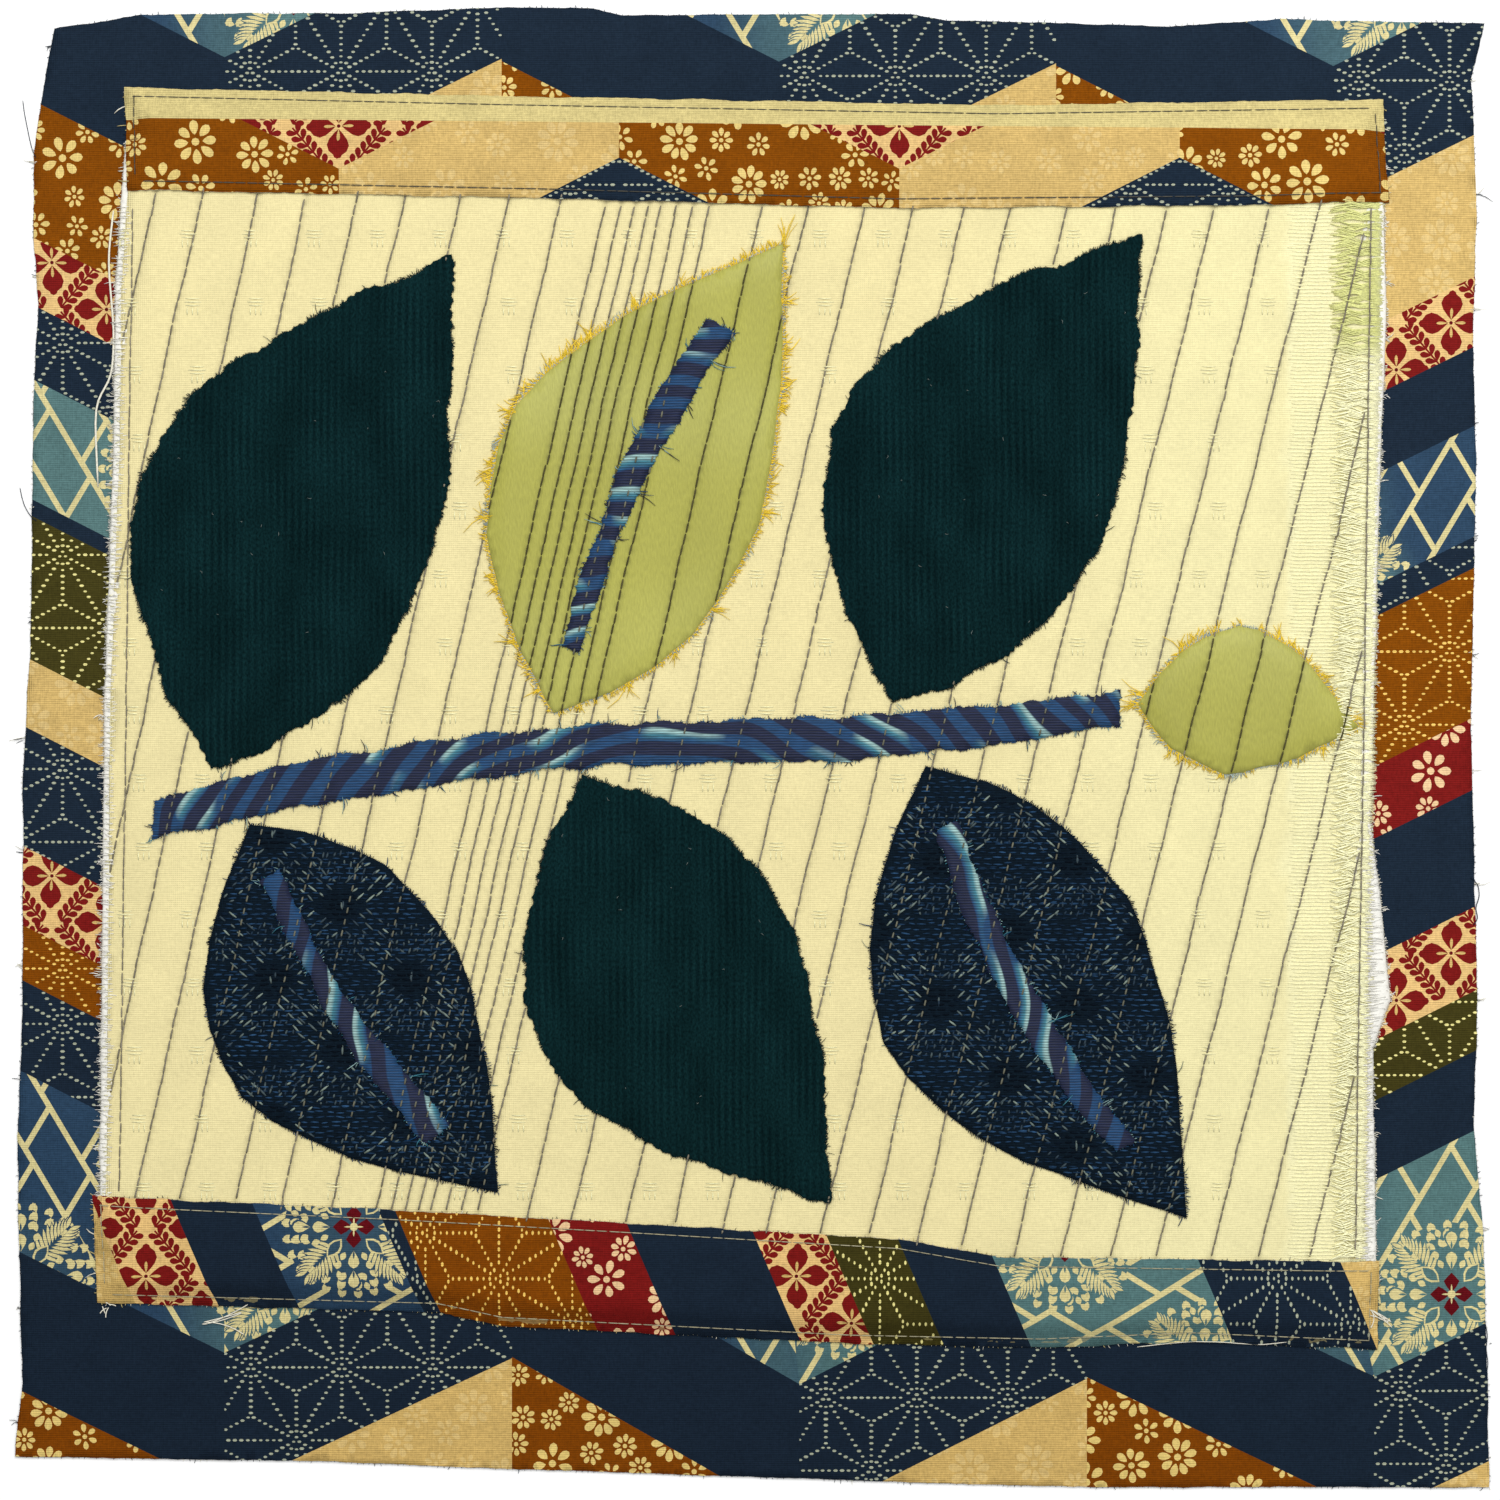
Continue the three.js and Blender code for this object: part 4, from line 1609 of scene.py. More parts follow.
# Places of the points in each face
BASE_GRID = 2.4
BASE_INSET = 0.9
HIDDEN_DEPTH = 4
HIDDEN_EVERY = 4
FLEECE_GRID = 6
FLEECE_INSET = 3
FLEECE_RINGS = (0.4, 0.9, 1.6, 2.4)
FLEECE_RING_STEP = 1.0
STRIP_GRID = 1.8
STRIP_INSET = 0.8
SILK_GRID = 1.0
CORD_STEP = 1.6
WALE_STEPS = 6
FINE_INSET = 0.35


def base_places(node, loop):
    """A grid that is sparse where the fleece hides the base."""
    places = inside_loop(mesh_points(loop, BASE_GRID), LOOPS[node], BASE_INSET)
    x, y = places.T
    hidden = within(x, y, LOOPS["batting"]) & (edge_gap(x, y, LOOPS["batting"]) > HIDDEN_DEPTH)
    kept = np.all(np.round(places / BASE_GRID) % HIDDEN_EVERY == 0, axis=1)
    return places[~hidden | kept]


def fleece_places(node, loop):
    """A wide grid, and close rings along the round edge."""
    edge = spaced(loop, FLEECE_RING_STEP)
    rings = [edge - outward(edge) * inset for inset in FLEECE_RINGS]
    return np.vstack([inside_loop(mesh_points(loop, FLEECE_GRID), loop, FLEECE_INSET), *rings])


def strip_places(node, loop):
    """An even grid."""
    return inside_loop(mesh_points(loop, STRIP_GRID), LOOPS[node], STRIP_INSET)


def silk_places(node, loop):
    """A fine even grid."""
    return inside_loop(mesh_points(loop, SILK_GRID), loop, FINE_INSET)


def cord_places(node, loop):
    """Columns that follow the ridges of the corduroy."""
    (left, low), (right, high) = loop.min(0), loop.max(0)
    xs = np.arange(math.floor(left / WALE_PITCH) * WALE_PITCH, right, WALE_PITCH / WALE_STEPS)
    x, y = np.meshgrid(xs, np.arange(low, high, CORD_STEP))
    return inside_loop(np.column_stack([x.ravel(), y.ravel()]), loop, FINE_INSET)


# Cream panel with its ribbed and ravelled right side
RAVEL_LEFT = 121.8
RAVEL_LOW = -106
RAVEL_HIGH = 114
RIB_BAND_LEFT = 111.6
RIB_BAND_PITCH = 0.77
RIB_BAND_STEPS = 9
RIB_BAND_WIDTH = 0.22
RIB_BAND_SINK = 0.07
RIB_BAND_SHAKE = 0.8
RIB_BAND_OVERLAP = 0.4
RIB_BAND_WIGGLE = 0.06
RIB_BAND_TURN = 17
RIB_BAND_SHADES = (0.96, 1.05)
RIB_BAND_SEED = 79
PANEL_LEFT_LINE = ((-128.4, 112), (-129.2, 60), (-129.6, 20), (-130.4, -40), (-130.9, -75), (-131.2, -94))
PANEL_RIGHT_LINE = ((128.4, 112), (128.0, 93), (127.5, 51), (126.8, 0), (125.6, -60), (125.0, -106))
RAVEL_WHITE = -12
RAVEL_YELLOW_FROM = 78
RAVEL_YELLOW_REACH = 8
RAVEL_STEP = 0.24
RAVEL_WIDTH = 0.13
RAVEL_LIFT = 0.1
RAVEL_BUNCHES = (1.0, 2.6)
RAVEL_BUNCH_COUNT = 150
RAVEL_PULLS = (0.1, 0.7)
RAVEL_STARTS = (-2.4, 0.8)
RAVEL_OVERHANGS = ((1.6, 2.9), (2.2, 3.2))
RAVEL_WIGGLE = 0.32
RAVEL_WIGGLE_TURN = 11
RAVEL_WIGGLE_END = 0.6
RAVEL_PUFFS = (0.3, 1.5)
RAVEL_SHADES = (0.94, 1.06)
RAVEL_SEED = 76
RAVEL_SEAM = 0.56
RAVEL_SEAM_WIDTH = 0.2
RAVEL_SHARES = np.array([0, 0.14, 0.28, 0.42, 0.56, 0.7, 0.85, 1.0])
RAVEL_PUFF = np.array([0, 0.2, 0.26, 0.16, 0.02, 0.06, 0.05, 0.02])


def right_line(y):
    """Where the stitches of the right side run."""
    xs, ys = np.array(PANEL_RIGHT_LINE[::-1]).T
    return np.interp(y, ys, xs)


def panel_work(node, edge, seed):
    """What is woven into the panel or ravels from it."""
    return [ravelled_side(), ribbed_band(), woven_figures(), left_fray(edge)]


def ravelled_side():
    """Loose weft threads that bunch under the stitches of the right side and lie flat beyond them."""
    draw = np.random.default_rng(RAVEL_SEED)
    ys = np.arange(RAVEL_LOW, RAVEL_HIGH, RAVEL_STEP)
    count = len(ys)
    bunches = RAVEL_LOW + np.cumsum(draw.uniform(*RAVEL_BUNCHES, RAVEL_BUNCH_COUNT))
    nearest = np.abs(bunches - ys[:, None]).argmin(axis=1)
    pull = (bunches[nearest] - ys) * draw.uniform(*RAVEL_PULLS, len(bunches))[nearest]
    left = RAVEL_LEFT + draw.uniform(*RAVEL_STARTS, count)
    phases = draw.uniform(0, FULL_TURN, len(bunches))[nearest]
    lower, upper = (draw.uniform(*overhangs, count) for overhangs in RAVEL_OVERHANGS)
    right = right_line(ys) + np.where(ys < RAVEL_WHITE, lower, upper)
    near_stitch = bell(RAVEL_SHARES - RAVEL_SEAM, RAVEL_SEAM_WIDTH)
    wiggle = RAVEL_WIGGLE * np.sin(RAVEL_SHARES * RAVEL_WIGGLE_TURN + phases[:, None])
    wiggle = wiggle * (RAVEL_SHARES < RAVEL_WIGGLE_END)
    x = left[:, None] + (right - left)[:, None] * RAVEL_SHARES
    y = ys[:, None] + pull[:, None] * near_stitch + wiggle
    puff = RAVEL_PUFF * draw.uniform(*RAVEL_PUFFS, (count, 1))
    paths = laid(x, y, ground_top, RAVEL_LIFT + puff)
    colours = blend(RAVEL_CREAM, RAVEL_YELLOW, ease((ys - RAVEL_YELLOW_FROM) / RAVEL_YELLOW_REACH))
    colours = varied(colours, RAVEL_SHADES, count, draw)
    return threads("cream_panel_ravel", paths, RAVEL_WIDTH, colours)


def ribbed_band():
    """Raised weft ribs beside the ravelled side."""
    ys = np.arange(RAVEL_LOW, RAVEL_HIGH, RIB_BAND_PITCH)
    shares = np.linspace(0, 1, RIB_BAND_STEPS)
    draw = np.random.default_rng(RIB_BAND_SEED)
    left = RIB_BAND_LEFT + draw.uniform(-RIB_BAND_SHAKE, RIB_BAND_SHAKE, len(ys))
    x = left[:, None] + shares * (RAVEL_LEFT + RIB_BAND_OVERLAP - left)[:, None]
    y = ys[:, None] + RIB_BAND_WIGGLE * np.sin(shares * RIB_BAND_TURN + ys[:, None])
    paths = laid(x, y, panel_top, -RIB_BAND_SINK)
    colours = varied(CREAM_LIGHT, RIB_BAND_SHADES, len(ys), draw)
    return threads("cream_panel_ribs", paths, RIB_BAND_WIDTH, colours, 4)


FIGURE_STEP = (13.1, 14.1)
FIGURE_LEFT = -126
FIGURE_LOW = -92
FIGURE_HIGH = 112
FIGURE_SHIFTS = 5
FIGURE_MARGIN = 3
FIGURE_WIDTH = 0.18
FIGURE_ARCH = np.array([-0.06, 0.04, -0.06])
FIGURE_BARS = (
    (-1.5, 1.6, 1.5, 1.6),
    (-1.9, 0.9, 1.9, 0.9),
    (-1.5, 0.2, 1.5, 0.2),
    (-1.1, -0.2, -1.1, -1.9),
    (0.0, -0.2, 0.0, -1.9),
    (1.1, -0.2, 1.1, -1.9),
)


def woven_figures():
    """Small raised figures in the cream weave."""
    bars = []
    for row, y in enumerate(np.arange(FIGURE_LOW, FIGURE_HIGH, FIGURE_STEP[1])):
        for x in np.arange(FIGURE_LEFT - row % FIGURE_SHIFTS, RIB_BAND_LEFT - FIGURE_MARGIN, FIGURE_STEP[0]):
            if not covered(x, y, PATCHES):
                bars.extend(np.array(FIGURE_BARS) + (x, y, x, y))
    starts, ends = np.split(np.array(bars), 2, axis=1)
    plan = np.stack([starts, (starts + ends) / 2, ends], axis=1)
    paths = laid(plan[..., 0], plan[..., 1], panel_top, FIGURE_ARCH)
    return threads("cream_panel_figures", paths, FIGURE_WIDTH, CREAM_LIGHT)


PANEL_LEFT = -125
PANEL_FRAY_LOW = -94
PANEL_FRAY_HIGH = 112
ROOM_MOST = 8
ROOM_STEP = 0.2
SIDE_THREADS = 3
SIDE_SHARES = np.array([-0.4, 0.3, 1.0])
SIDE_LIFT = 0.15
SIDE_WIDTH = 0.12
SIDE_GAP = 0.75
SIDE_OVERHANG = 2.0
SIDE_SHAKE = 0.3
SIDE_WHITES = (1.4, 2.8)
SIDE_CREAMS = (0.3, 1.0)
SIDE_CUTS = (0.7, 1.1)
SIDE_STRAY = 0.25
SIDE_SHADES = (0.9, 1.04)
SIDE_SEED = 80


def left_fray(edge):
    """White threads across the fleece and short cream ones, along the panel's sides."""
    x, y = edge.T
    left = edge[(x < PANEL_LEFT) & (y < PANEL_FRAY_HIGH) & (y > PANEL_FRAY_LOW)]
    ys = np.arange(RAVEL_LOW, RAVEL_WHITE, SIDE_GAP)
    starts = np.vstack([left, np.column_stack([right_line(ys) + SIDE_OVERHANG, ys])])
    draw = np.random.default_rng(SIDE_SEED)
    count = len(starts) * SIDE_THREADS
    starts = np.repeat(starts, SIDE_THREADS, axis=0) + draw.normal(0, SIDE_SHAKE, (count, 2))
    heading = np.sign(starts[:, :1])
    white = np.arange(count) % SIDE_THREADS > 0
    lengths = np.where(white, draw.uniform(*SIDE_WHITES, count), draw.uniform(*SIDE_CREAMS, count))
    across = fleece_room(starts) * draw.uniform(*SIDE_CUTS, count)
    lengths = np.where(white & (heading[:, 0] > 0), across, lengths)
    x = starts[:, :1] + heading * lengths[:, None] * SIDE_SHARES
    y = starts[:, 1:] + draw.normal(0, SIDE_STRAY, (count, 1)) * SIDE_SHARES
    paths = laid(x, y, ground_top, SIDE_LIFT)
    tints = varied(np.where(white[:, None], FLEECE_WHITE, CREAM_LIGHT), SIDE_SHADES, count, draw)
    return threads("cream_panel_left_fray", paths, SIDE_WIDTH, tints)


def fleece_room(places):
    """How far the fleece runs on to the right of each place."""
    x = places[:, :1] + np.arange(0, ROOM_MOST, ROOM_STEP)
    y = np.broadcast_to(places[:, 1:], x.shape)
    return ROOM_STEP * within(x, y, LOOPS["batting"]).sum(axis=1)


# Floats of the indigo cloth
INDIGO_CELL = (14.3, 14.8)
INDIGO_LANES = (-3.6, -1.2, 1.2, 3.6)
INDIGO_REACHES = (4.4, 7.0, 9.6)
INDIGO_COLUMNS = (-4.2, -2.8, -1.4, 0, 1.4, 2.8, 4.2)
INDIGO_LEVELS = (6.0, 7.6, 9.2, 10.8)
INDIGO_MIDDLE = (3.9, 3.4)
INDIGO_WIDTHS = (0.24, 0.2)
INDIGO_INSET = 0.8
INDIGO_ARCH = np.array([-0.02, 0.04, -0.02])
INDIGO_SEED_STEP = 102
# Pale floats, each with its half run along and up, and its light
SLANT_FLOAT = (0.62, 0.54, 1.0)
SLANT_RUN = (0.74, 0.66)
SLANT_ASIDE = 0.62
SLANT_BOW = 0.2
UPRIGHT_FLOAT = (0.12, 0.45, 0.34)
MIDDLE_FLOATS = ((-0.2, 0, 0.0, 0.9, 0.55), (0.3, 0.3, 0.1, 0.6, 0.4))
FLOAT_SHAKE = 0.28
FLOAT_CUTS = (0.6, 1.3)
FLOAT_SKEW = 0.07
FLOAT_GLINTS = (0.2, 1.0)
FLOAT_GLINT_FALL = 1.6
FLOAT_BLUE = 0.45
# Blue dashes in rows between them
DASH_ROW = 1.05
DASH_STEP = 2.1
DASH_SHAKE = 0.14
DASH_RUNS = (0.6, 0.95)
DASH_SKEW = 0.06
DASH_CLEAR = 0.75
DASH_WAVE = (0.5, 9)
DASH_MEAN = 0.7
DASH_LIMITS = (0.2, 1.2)
DASH_DIM = 0.08
DASH_GAIN = 1.2
DASH_SHADES = (0.4, 1.2)


def indigo_fans(cx, cy):
    """Slanting floats round a dark middle and dim upright ones: place, half run, light."""
    floats = []
    for sx, sy in ((1, 1), (1, -1), (-1, 1), (-1, -1)):
        for lane in INDIGO_LANES:
            for reach in INDIGO_REACHES:
                out = reach + abs(lane) * SLANT_BOW
                x = cx + sx * (out * SLANT_RUN[0] + lane * SLANT_ASIDE)
                y = cy + sy * (out * SLANT_RUN[1] - lane * SLANT_ASIDE)
                run, climb, light = SLANT_FLOAT
                floats.append((x, y, sx * run, sy * climb, light))
    for x in INDIGO_COLUMNS:
        for y in INDIGO_LEVELS:
            floats.extend((cx + x, cy + side * y, *UPRIGHT_FLOAT) for side in (-1, 1))
    floats.extend((cx + x, cy + y, *rest) for x, y, *rest in MIDDLE_FLOATS)
    return floats


def indigo_work(node, edge, seed):
    """What is woven into an indigo leaf."""
    return [indigo_floats(node, seed + INDIGO_SEED_STEP)]


def indigo_floats(node, seed):
    """Pale and blue floats woven about dark middles."""
    loop = LOOPS[node]
    draw = np.random.default_rng(seed)
    low, high = loop.min(0), loop.max(0)
    half_x, half_y = INDIGO_CELL
    middles = []
    for row, cy in enumerate(np.arange(low[1] - half_y, high[1] + half_y, half_y)):
        columns = np.arange(low[0] - half_x * (1 + row % 2), high[0] + 2 * half_x, 2 * half_x)
        middles.extend((cx, cy) for cx in columns)
    pale = np.vstack([indigo_fans(cx, cy) for cx, cy in middles])
    count = len(pale)
    pale[:, :2] += draw.normal(0, FLOAT_SHAKE, (count, 2))
    pale[:, 2:4] *= draw.uniform(*FLOAT_CUTS, (count, 1))
    pale[:, 2:4] += draw.normal(0, FLOAT_SKEW, (count, 2))
    glints = pale[:, 4:] * draw.uniform(*FLOAT_GLINTS, (count, 1)) ** FLOAT_GLINT_FALL
    rows = mesh_points(loop, DASH_STEP)
    rows[:, 1] = low[1] + np.round((rows[:, 1] - low[1]) / DASH_ROW) * DASH_ROW
    rows = np.vstack([rows, rows + (DASH_STEP / 2, DASH_ROW)])
    rows += draw.normal(0, DASH_SHAKE, rows.shape)
    gaps = np.min([np.hypot(*((rows - middle) / INDIGO_MIDDLE).T) for middle in middles], axis=0)
    shine = np.clip(DASH_MEAN + waves(*rows.T, (*DASH_WAVE, seed)), *DASH_LIMITS)
    shine = ease(gaps - DASH_CLEAR) * shine
    dashes = len(rows)
    blue = np.column_stack([rows, draw.uniform(*DASH_RUNS, dashes), draw.normal(0, DASH_SKEW, dashes)])
    runs = np.vstack([pale[:, :4], blue])
    dim = INDIGO_BLUE * (DASH_DIM + DASH_GAIN * shine * draw.uniform(*DASH_SHADES, dashes))[:, None]
    colours = np.vstack([INDIGO_BLUE * FLOAT_BLUE + INDIGO_PALE * glints, dim])
    widths = np.where(np.arange(len(runs)) < count, *INDIGO_WIDTHS)
    x, y = runs[:, :2].T
    shown = within(x, y, loop) & (edge_gap(x, y, loop) > INDIGO_INSET)
    runs = runs[shown]
    plan = np.stack([runs[:, :2] + share * runs[:, 2:] for share in (-1, 0, 1)], axis=1)
    lines = laid(plan[..., 0], plan[..., 1], TOPS[node], INDIGO_ARCH)
    return threads(node + "_floats", lines, widths[shown], colours[shown])


# Stitches
STITCH_START = 0.3
STITCH_SHAKE = 0.06
STITCH_STRAY = 0.05
STITCH_CUTS = (0.9, 1.05)
STITCH_SHARES = np.array([0.0, 0.18, 0.5, 0.82, 1.0])
STITCH_ARCH = np.array([0.0, 0.11, 0.14, 0.11, 0.0])


def stitches_along(line, length, seed):
    """Single stitches along a line of points in plan."""
    draw = np.random.default_rng(seed)
    line = np.asarray(line, float)
    runs = np.concatenate([[0], np.cumsum(np.hypot(*np.diff(line, axis=0).T))])
    starts = np.arange(STITCH_START, runs[-1] - length, STITCH_PITCH)
    count = len(starts)
    starts = starts + draw.normal(0, STITCH_SHAKE, count)
    where = starts[:, None] + STITCH_SHARES * length * draw.uniform(*STITCH_CUTS, (count, 1))
    x, y = (np.interp(where, runs, part) for part in line.T)
    x = x + draw.normal(0, STITCH_STRAY, (count, 1))
    return laid(x, y, top_of_all, STITCH_ARCH)


def clear_of(paths, nodes):
    """The stitches that touch none of the named pieces."""
    return paths[~covered(paths[:, 2, 0], paths[:, 2, 1], nodes)]


RAVEL_STITCH_LIFT = 0.85
DARK_STITCH_SHARE = 0.55
QUILT_STITCHES = range(-52, 58)
QUILT_WOBBLE = (0.28, 23, 6)
QUILT_LEAST = 4
QUILT_WIDTH = 0.2
QUILT_SHADES = (0.8, 1.15)
QUILT_SEED = 90
QUILT_ROW_SEED = 200
RAVEL_OVERLAP = 0.5


def make_quilting():
    """Rows of running stitches across the panel."""
    runs = []
    ys = np.array(QUILT_STITCHES) * STITCH_PITCH
    for index, start in enumerate(ROWS):
        wobble = waves(np.full(len(ys), start), ys, QUILT_WOBBLE)
        xs = start + row_lean(start) * ys + wobble
        shown = within(xs, ys, LOOPS["cream_panel"]) & (xs < right_line(ys))
        if shown.sum() > QUILT_LEAST:
            line = np.column_stack([xs, ys])[shown]
            runs.append(stitches_along(line, STITCH_LENGTH, QUILT_ROW_SEED + index))
    paths = clear_of(np.vstack(runs), CORD_LEAVES + STRIPS)
    middles = paths[:, 2:3]
    paths[..., 2] += np.where(middles[..., 0] > RAVEL_LEFT - RAVEL_OVERLAP, RAVEL_STITCH_LIFT, 0)
    x, y = middles[:, 0, :2].T
    dark = covered(x, y, [*INDIGO_LEAVES, *RIBS, "branch_strip"])
    paths = np.where(dark[:, None, None], middles + (paths - middles) * DARK_STITCH_SHARE, paths)
    colours = np.tile(THREAD_GREY, (len(paths), 1))
    colours[covered(x, y, SATIN_LEAVES)] = THREAD_OLIVE
    colours[dark] = THREAD_DIM
    colours = varied(colours, QUILT_SHADES, len(paths), np.random.default_rng(QUILT_SEED))
    threads("quilting_stitches", paths, QUILT_WIDTH, colours)


SEAM_INSET = 1.9
SEAM_STITCH = 2.35
SEAM_STEP = 1.5
SEAM_FACING = 0.8
SEAM_SHADES = (0.8, 1.1)
SEAM_SEED = 91
SEAM_LINE_SEED = 300


def edge_run(node, heading):
    """Line inside one side of a strip, where the edge faces a heading."""
    points = spaced(LOOPS[node], SEAM_STEP)
    facing = outward(points)
    kept = facing @ np.asarray(heading, float) > SEAM_FACING
    line = points[kept] - facing[kept] * SEAM_INSET
    order = np.argsort(line @ np.array([heading[1], heading[0]], float))
    return line[order]


# Thread and half thickness of the stitches along the strips and along the panel's sides
STRIP_SEAMS = (("top_strip", THREAD_DARK, 0.13), ("bottom_strip", THREAD_PALE, 0.12))
SIDE_SEAMS = ((PANEL_LEFT_LINE, THREAD_GREY, 0.19), (PANEL_RIGHT_LINE, THREAD_GREY, 0.21))
HEADINGS = ((0, 1), (0, -1), (1, 0), (-1, 0))


def make_border_stitches():
    """Stitches that hold the strips and the panel's sides."""
    seams = []
    for node, thread, width in STRIP_SEAMS:
        seams.extend((edge_run(node, heading), thread, width) for heading in HEADINGS)
    lines, tints, widths = zip(*seams, *SIDE_SEAMS)
    runs = [stitches_along(line, SEAM_STITCH, SEAM_LINE_SEED + index) for index, line in enumerate(lines)]
    runs[-1] = clear_of(runs[-1], ["bottom_strip"]) + (0, 0, RAVEL_STITCH_LIFT)
    counts = [len(run) for run in runs]
    draw = np.random.default_rng(SEAM_SEED)
    colours = varied(np.repeat(tints, counts, axis=0), SEAM_SHADES, sum(counts), draw)
    threads("border_stitches", np.vstack(runs), np.repeat(widths, counts), colours, 4)


# Loose threads and lint: colour, half thickness and the places that each thread passes
LOOSE_THREADS = (
    (
        WHITE_THREAD,
        0.26,
        ((-132.6, 111.4), (-133.8, 101), (-132.4, 86), (-132.9, 77), (-136.6, 71), (-135.8, 54)),
    ),
    (
        NAVY,
        0.1,
        ((-151.6, 134.5), (-151.3, 132), (-150.7, 129), (-150.2, 126.5), (-149.6, 124), (-148.8, 122.5)),
    ),
    (
        NAVY,
        0.1,
        ((-152.2, 54), (-151.8, 52), (-151.3, 50.3), (-150.5, 48.8), (-149.6, 47.6), (-148.6, 47)),
    ),
    (
        NAVY,
        0.12,
        ((149.4, -27), (151, -28.6), (151.3, -31), (150.4, -33.4), (151, -35.6), (149.9, -37)),
    ),
    (
        WHITE_THREAD,
        0.11,
        ((80, -124.6), (86, -123.9), (92, -123.4), (98, -123.5), (105, -124.2), (111, -123.5)),
    ),
    (
        NAVY,
        0.1,
        ((152.2, -119), (153, -122), (152.6, -125), (153.1, -128), (152.7, -130.5), (152.2, -132)),
    ),
)
LOOSE_STEPS = 26
LOOSE_ROUNDS = 3
LOOSE_LIFT = 0.25
LINT_SPOTS = 26
LINT_INSET = 1.5
LINT_LENGTHS = (0.3, 0.9)
LINT_BEND = 0.12
LINT_LIFT = 0.1
LINT_WIDTH = 0.07
LINT_TINT = FRAY_PALE_BLUE * 0.35
LINT_SEED = 95
# Tufts of short white threads: where they start, how far they reach, and their headings
TUFTS = (
    ((128.6, -117.2), (3.5, 6.0), (-0.15, -0.35, -0.5, -0.62, -0.75, -0.9, -1.1)),
    ((-114, -119.5), (6.0, 10.0), (0.0, 0.12, 0.22, 0.3)),
    ((-134.2, -115.8), (1.0, 2.6), (-2.9, -2.2, -1.2, -0.4, 0.0)),
)
TUFT_STEPS = 6
TUFT_BEND = 0.4
TUFT_SHAKE = 0.4
TUFT_WIDTH = 0.13
TUFT_SEED = 96


def tuft_lines():
    """Short white threads that leave the raw edge of the bottom strip."""
    draw = np.random.default_rng(TUFT_SEED)
    steps = np.linspace(0, 1, TUFT_STEPS)
    lines = []
    for start, reaches, headings in TUFTS:
        for heading in headings:
            bend = heading + draw.normal(0, TUFT_BEND) * steps
            reach = draw.uniform(*reaches) * steps
            x, y = np.array(start) + draw.normal(0, TUFT_SHAKE, 2)
            lines.append(np.column_stack([x + reach * np.cos(bend), y + reach * np.sin(bend)]))
    return [(WHITE_THREAD, TUFT_WIDTH, line) for line in lines]


def quilt_or_floor(x, y):
    """Height of the quilt, or of the floor beside it."""
    return np.where(within(x, y, LOOPS["base_cloth"]), top_of_all(x, y), 0)


def make_loose_threads():
    """Long threads that trail from the edges."""
    paths = []
    tints, widths, lines = zip(*LOOSE_THREADS, *tuft_lines())
    for line in lines:
        knots = np.linspace(0, len(line) - 1, LOOSE_STEPS)
        plan = np.column_stack([np.interp(knots, np.arange(len(line)), part) for part in np.transpose(line)])
        for _ in range(LOOSE_ROUNDS):
            plan[1:-1] = (plan[:-2] + 2 * plan[1:-1] + plan[2:]) / 4
        paths.append(laid(*plan.T, quilt_or_floor, LOOSE_LIFT))
    threads("loose_threads", paths, widths, tints, 4)


def make_lint():
    """Specks of pale lint on the corduroy."""
    draw = np.random.default_rng(LINT_SEED)
    paths = []
    for node in CORD_LEAVES:
        loop = LOOPS[node]
        spots = draw.uniform(loop.min(0), loop.max(0), (LINT_SPOTS, 2))
        for start in inside_loop(spots, loop, LINT_INSET):
            angle, length = draw.uniform(0, FULL_TURN), draw.uniform(*LINT_LENGTHS)
            stop = start + length * toward(angle)
            plan = np.array([start, (start + stop) / 2 + draw.normal(0, LINT_BEND, 2), stop])
            paths.append(laid(*plan.T, TOPS[node], LINT_LIFT))
    threads("cord_lint", paths, LINT_WIDTH, LINT_TINT)


lay_cloth("base_cloth", "base_cloth", base_places, base_print(), 71, 72)
lay_cloth("batting", "batting", fleece_places, one_dye(FLEECE_WHITE), 74, 83)
lay_cloth("cream_panel", "cream_panel", row_places, cream_dye_and_trough_shade, 75, None, panel_work)
lay_cloth("top_strip", "top_strip", strip_places, top_print(), 81, 181)
lay_cloth("bottom_strip", "bottom_strip", strip_places, bottom_print(), 82, 182)
for seed, node in enumerate(CORD_LEAVES, 110):
    lay_cloth("cord", node, cord_places, cord_dye_and_wale_shading, seed, seed + 100)
for seed, node in enumerate(SATIN_LEAVES, 120):
    lay_cloth("satin", node, row_places, lime_dye_sheen_and_shade, seed, seed + 100)
for seed, node in enumerate(INDIGO_LEAVES, 130):
    lay_cloth("indigo", node, row_places, one_dye(INDIGO), seed, seed + 100, indigo_work)
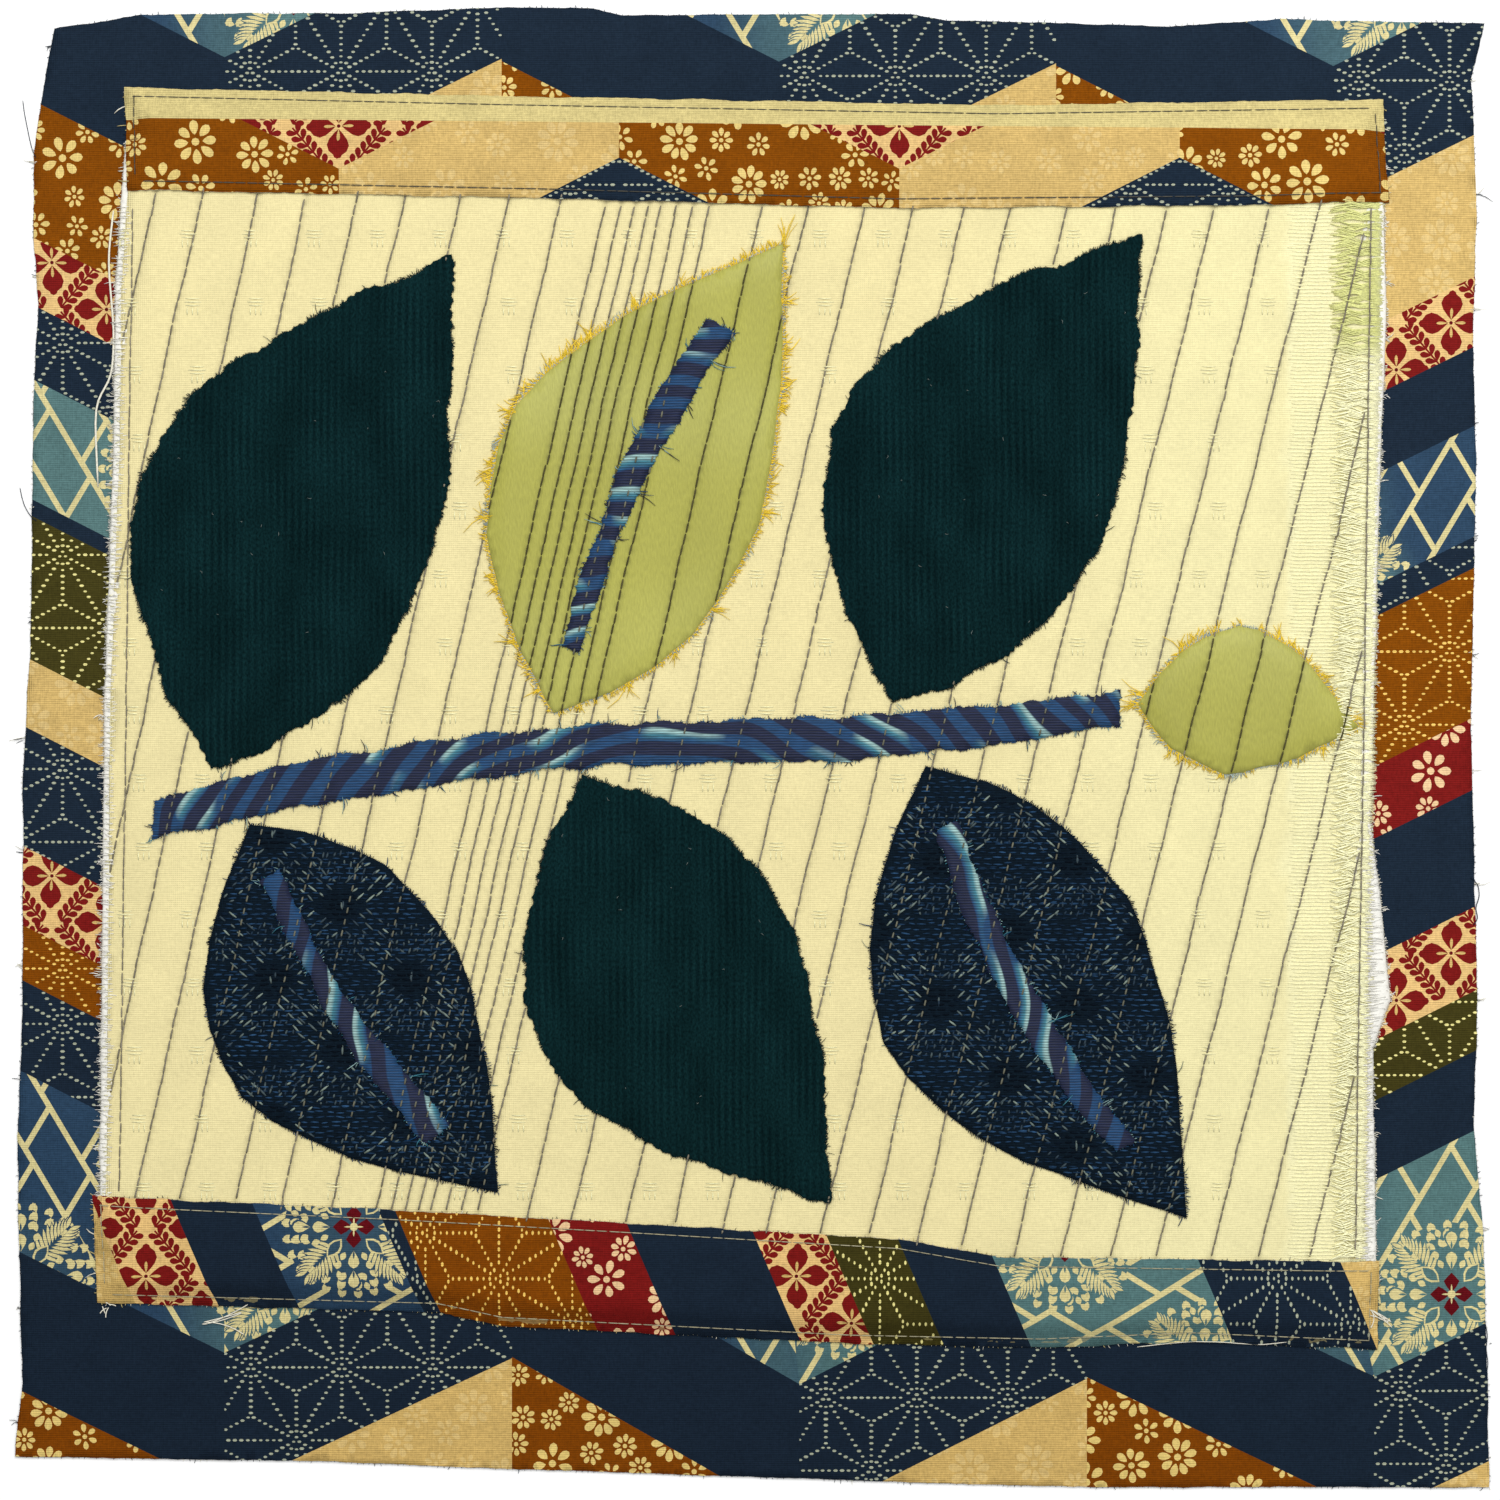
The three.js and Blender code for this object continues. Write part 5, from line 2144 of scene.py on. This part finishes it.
for seed, node in enumerate(["branch_strip", *RIBS], 140):
    lower = node.removesuffix("_rib") if node in RIBS else "cream_panel"
    lay_cloth("silk", node, silk_places, one_dye(SILK_BLUE), seed, seed + 100)
make_quilting()
make_border_stitches()
make_loose_threads()
make_lint()


# Floor, light and camera
FLOOR_SIZE = 4.0
FLOOR_DROP = 0.00005
KEY_PLACE = Vector((0.1, 0.6, 0.95))
KEY_SIZE = 0.8
KEY_WATTS = 10.5
ROOM_LIGHT = 0.66
FRAME_WIDTH = 311.25
FRAME_CENTRE = (-0.4, -0.6)
FRAME_HEIGHT = 2
LENS = 100
SENSOR = 36


def make_floor():
    """Wide square just under the quilt."""
    half = FLOOR_SIZE / 2
    corners = ((-half, -half), (half, -half), (half, half), (-half, half))
    mesh = bpy.data.meshes.new("floor")
    mesh.from_pydata([(x, y, -FLOOR_DROP) for x, y in corners], [], [(0, 1, 2, 3)])
    mesh.materials.append(floor_material())
    floor = put_in_scene("floor", mesh)


def make_light():
    """Square soft light aimed at the middle of the quilt, in a white room."""
    lamp = bpy.data.lights.new("key", "AREA")
    lamp.size = KEY_SIZE
    lamp.energy = KEY_WATTS
    key = put_in_scene("key", lamp)
    key.location = KEY_PLACE
    key.rotation_euler = (-KEY_PLACE).to_track_quat("-Z", "Y").to_euler()
    world = bpy.data.worlds.new("world")
    world.use_nodes = True
    room = world.node_tree.nodes["Background"]
    room.inputs["Color"].default_value = (1, 1, 1, 1)
    room.inputs["Strength"].default_value = ROOM_LIGHT
    bpy.context.scene.world = world
    bpy.context.scene.view_settings.view_transform = "Standard"


def make_camera():
    """Long lens straight above the quilt."""
    lens = bpy.data.cameras.new("camera")
    lens.lens = LENS
    lens.sensor_width = SENSOR
    camera = put_in_scene("camera", lens)
    height = FRAME_WIDTH * LENS / SENSOR + FRAME_HEIGHT
    camera.location = (FRAME_CENTRE[0] * MM, FRAME_CENTRE[1] * MM, height * MM)
    bpy.context.scene.camera = camera


make_floor()
make_light()
make_camera()
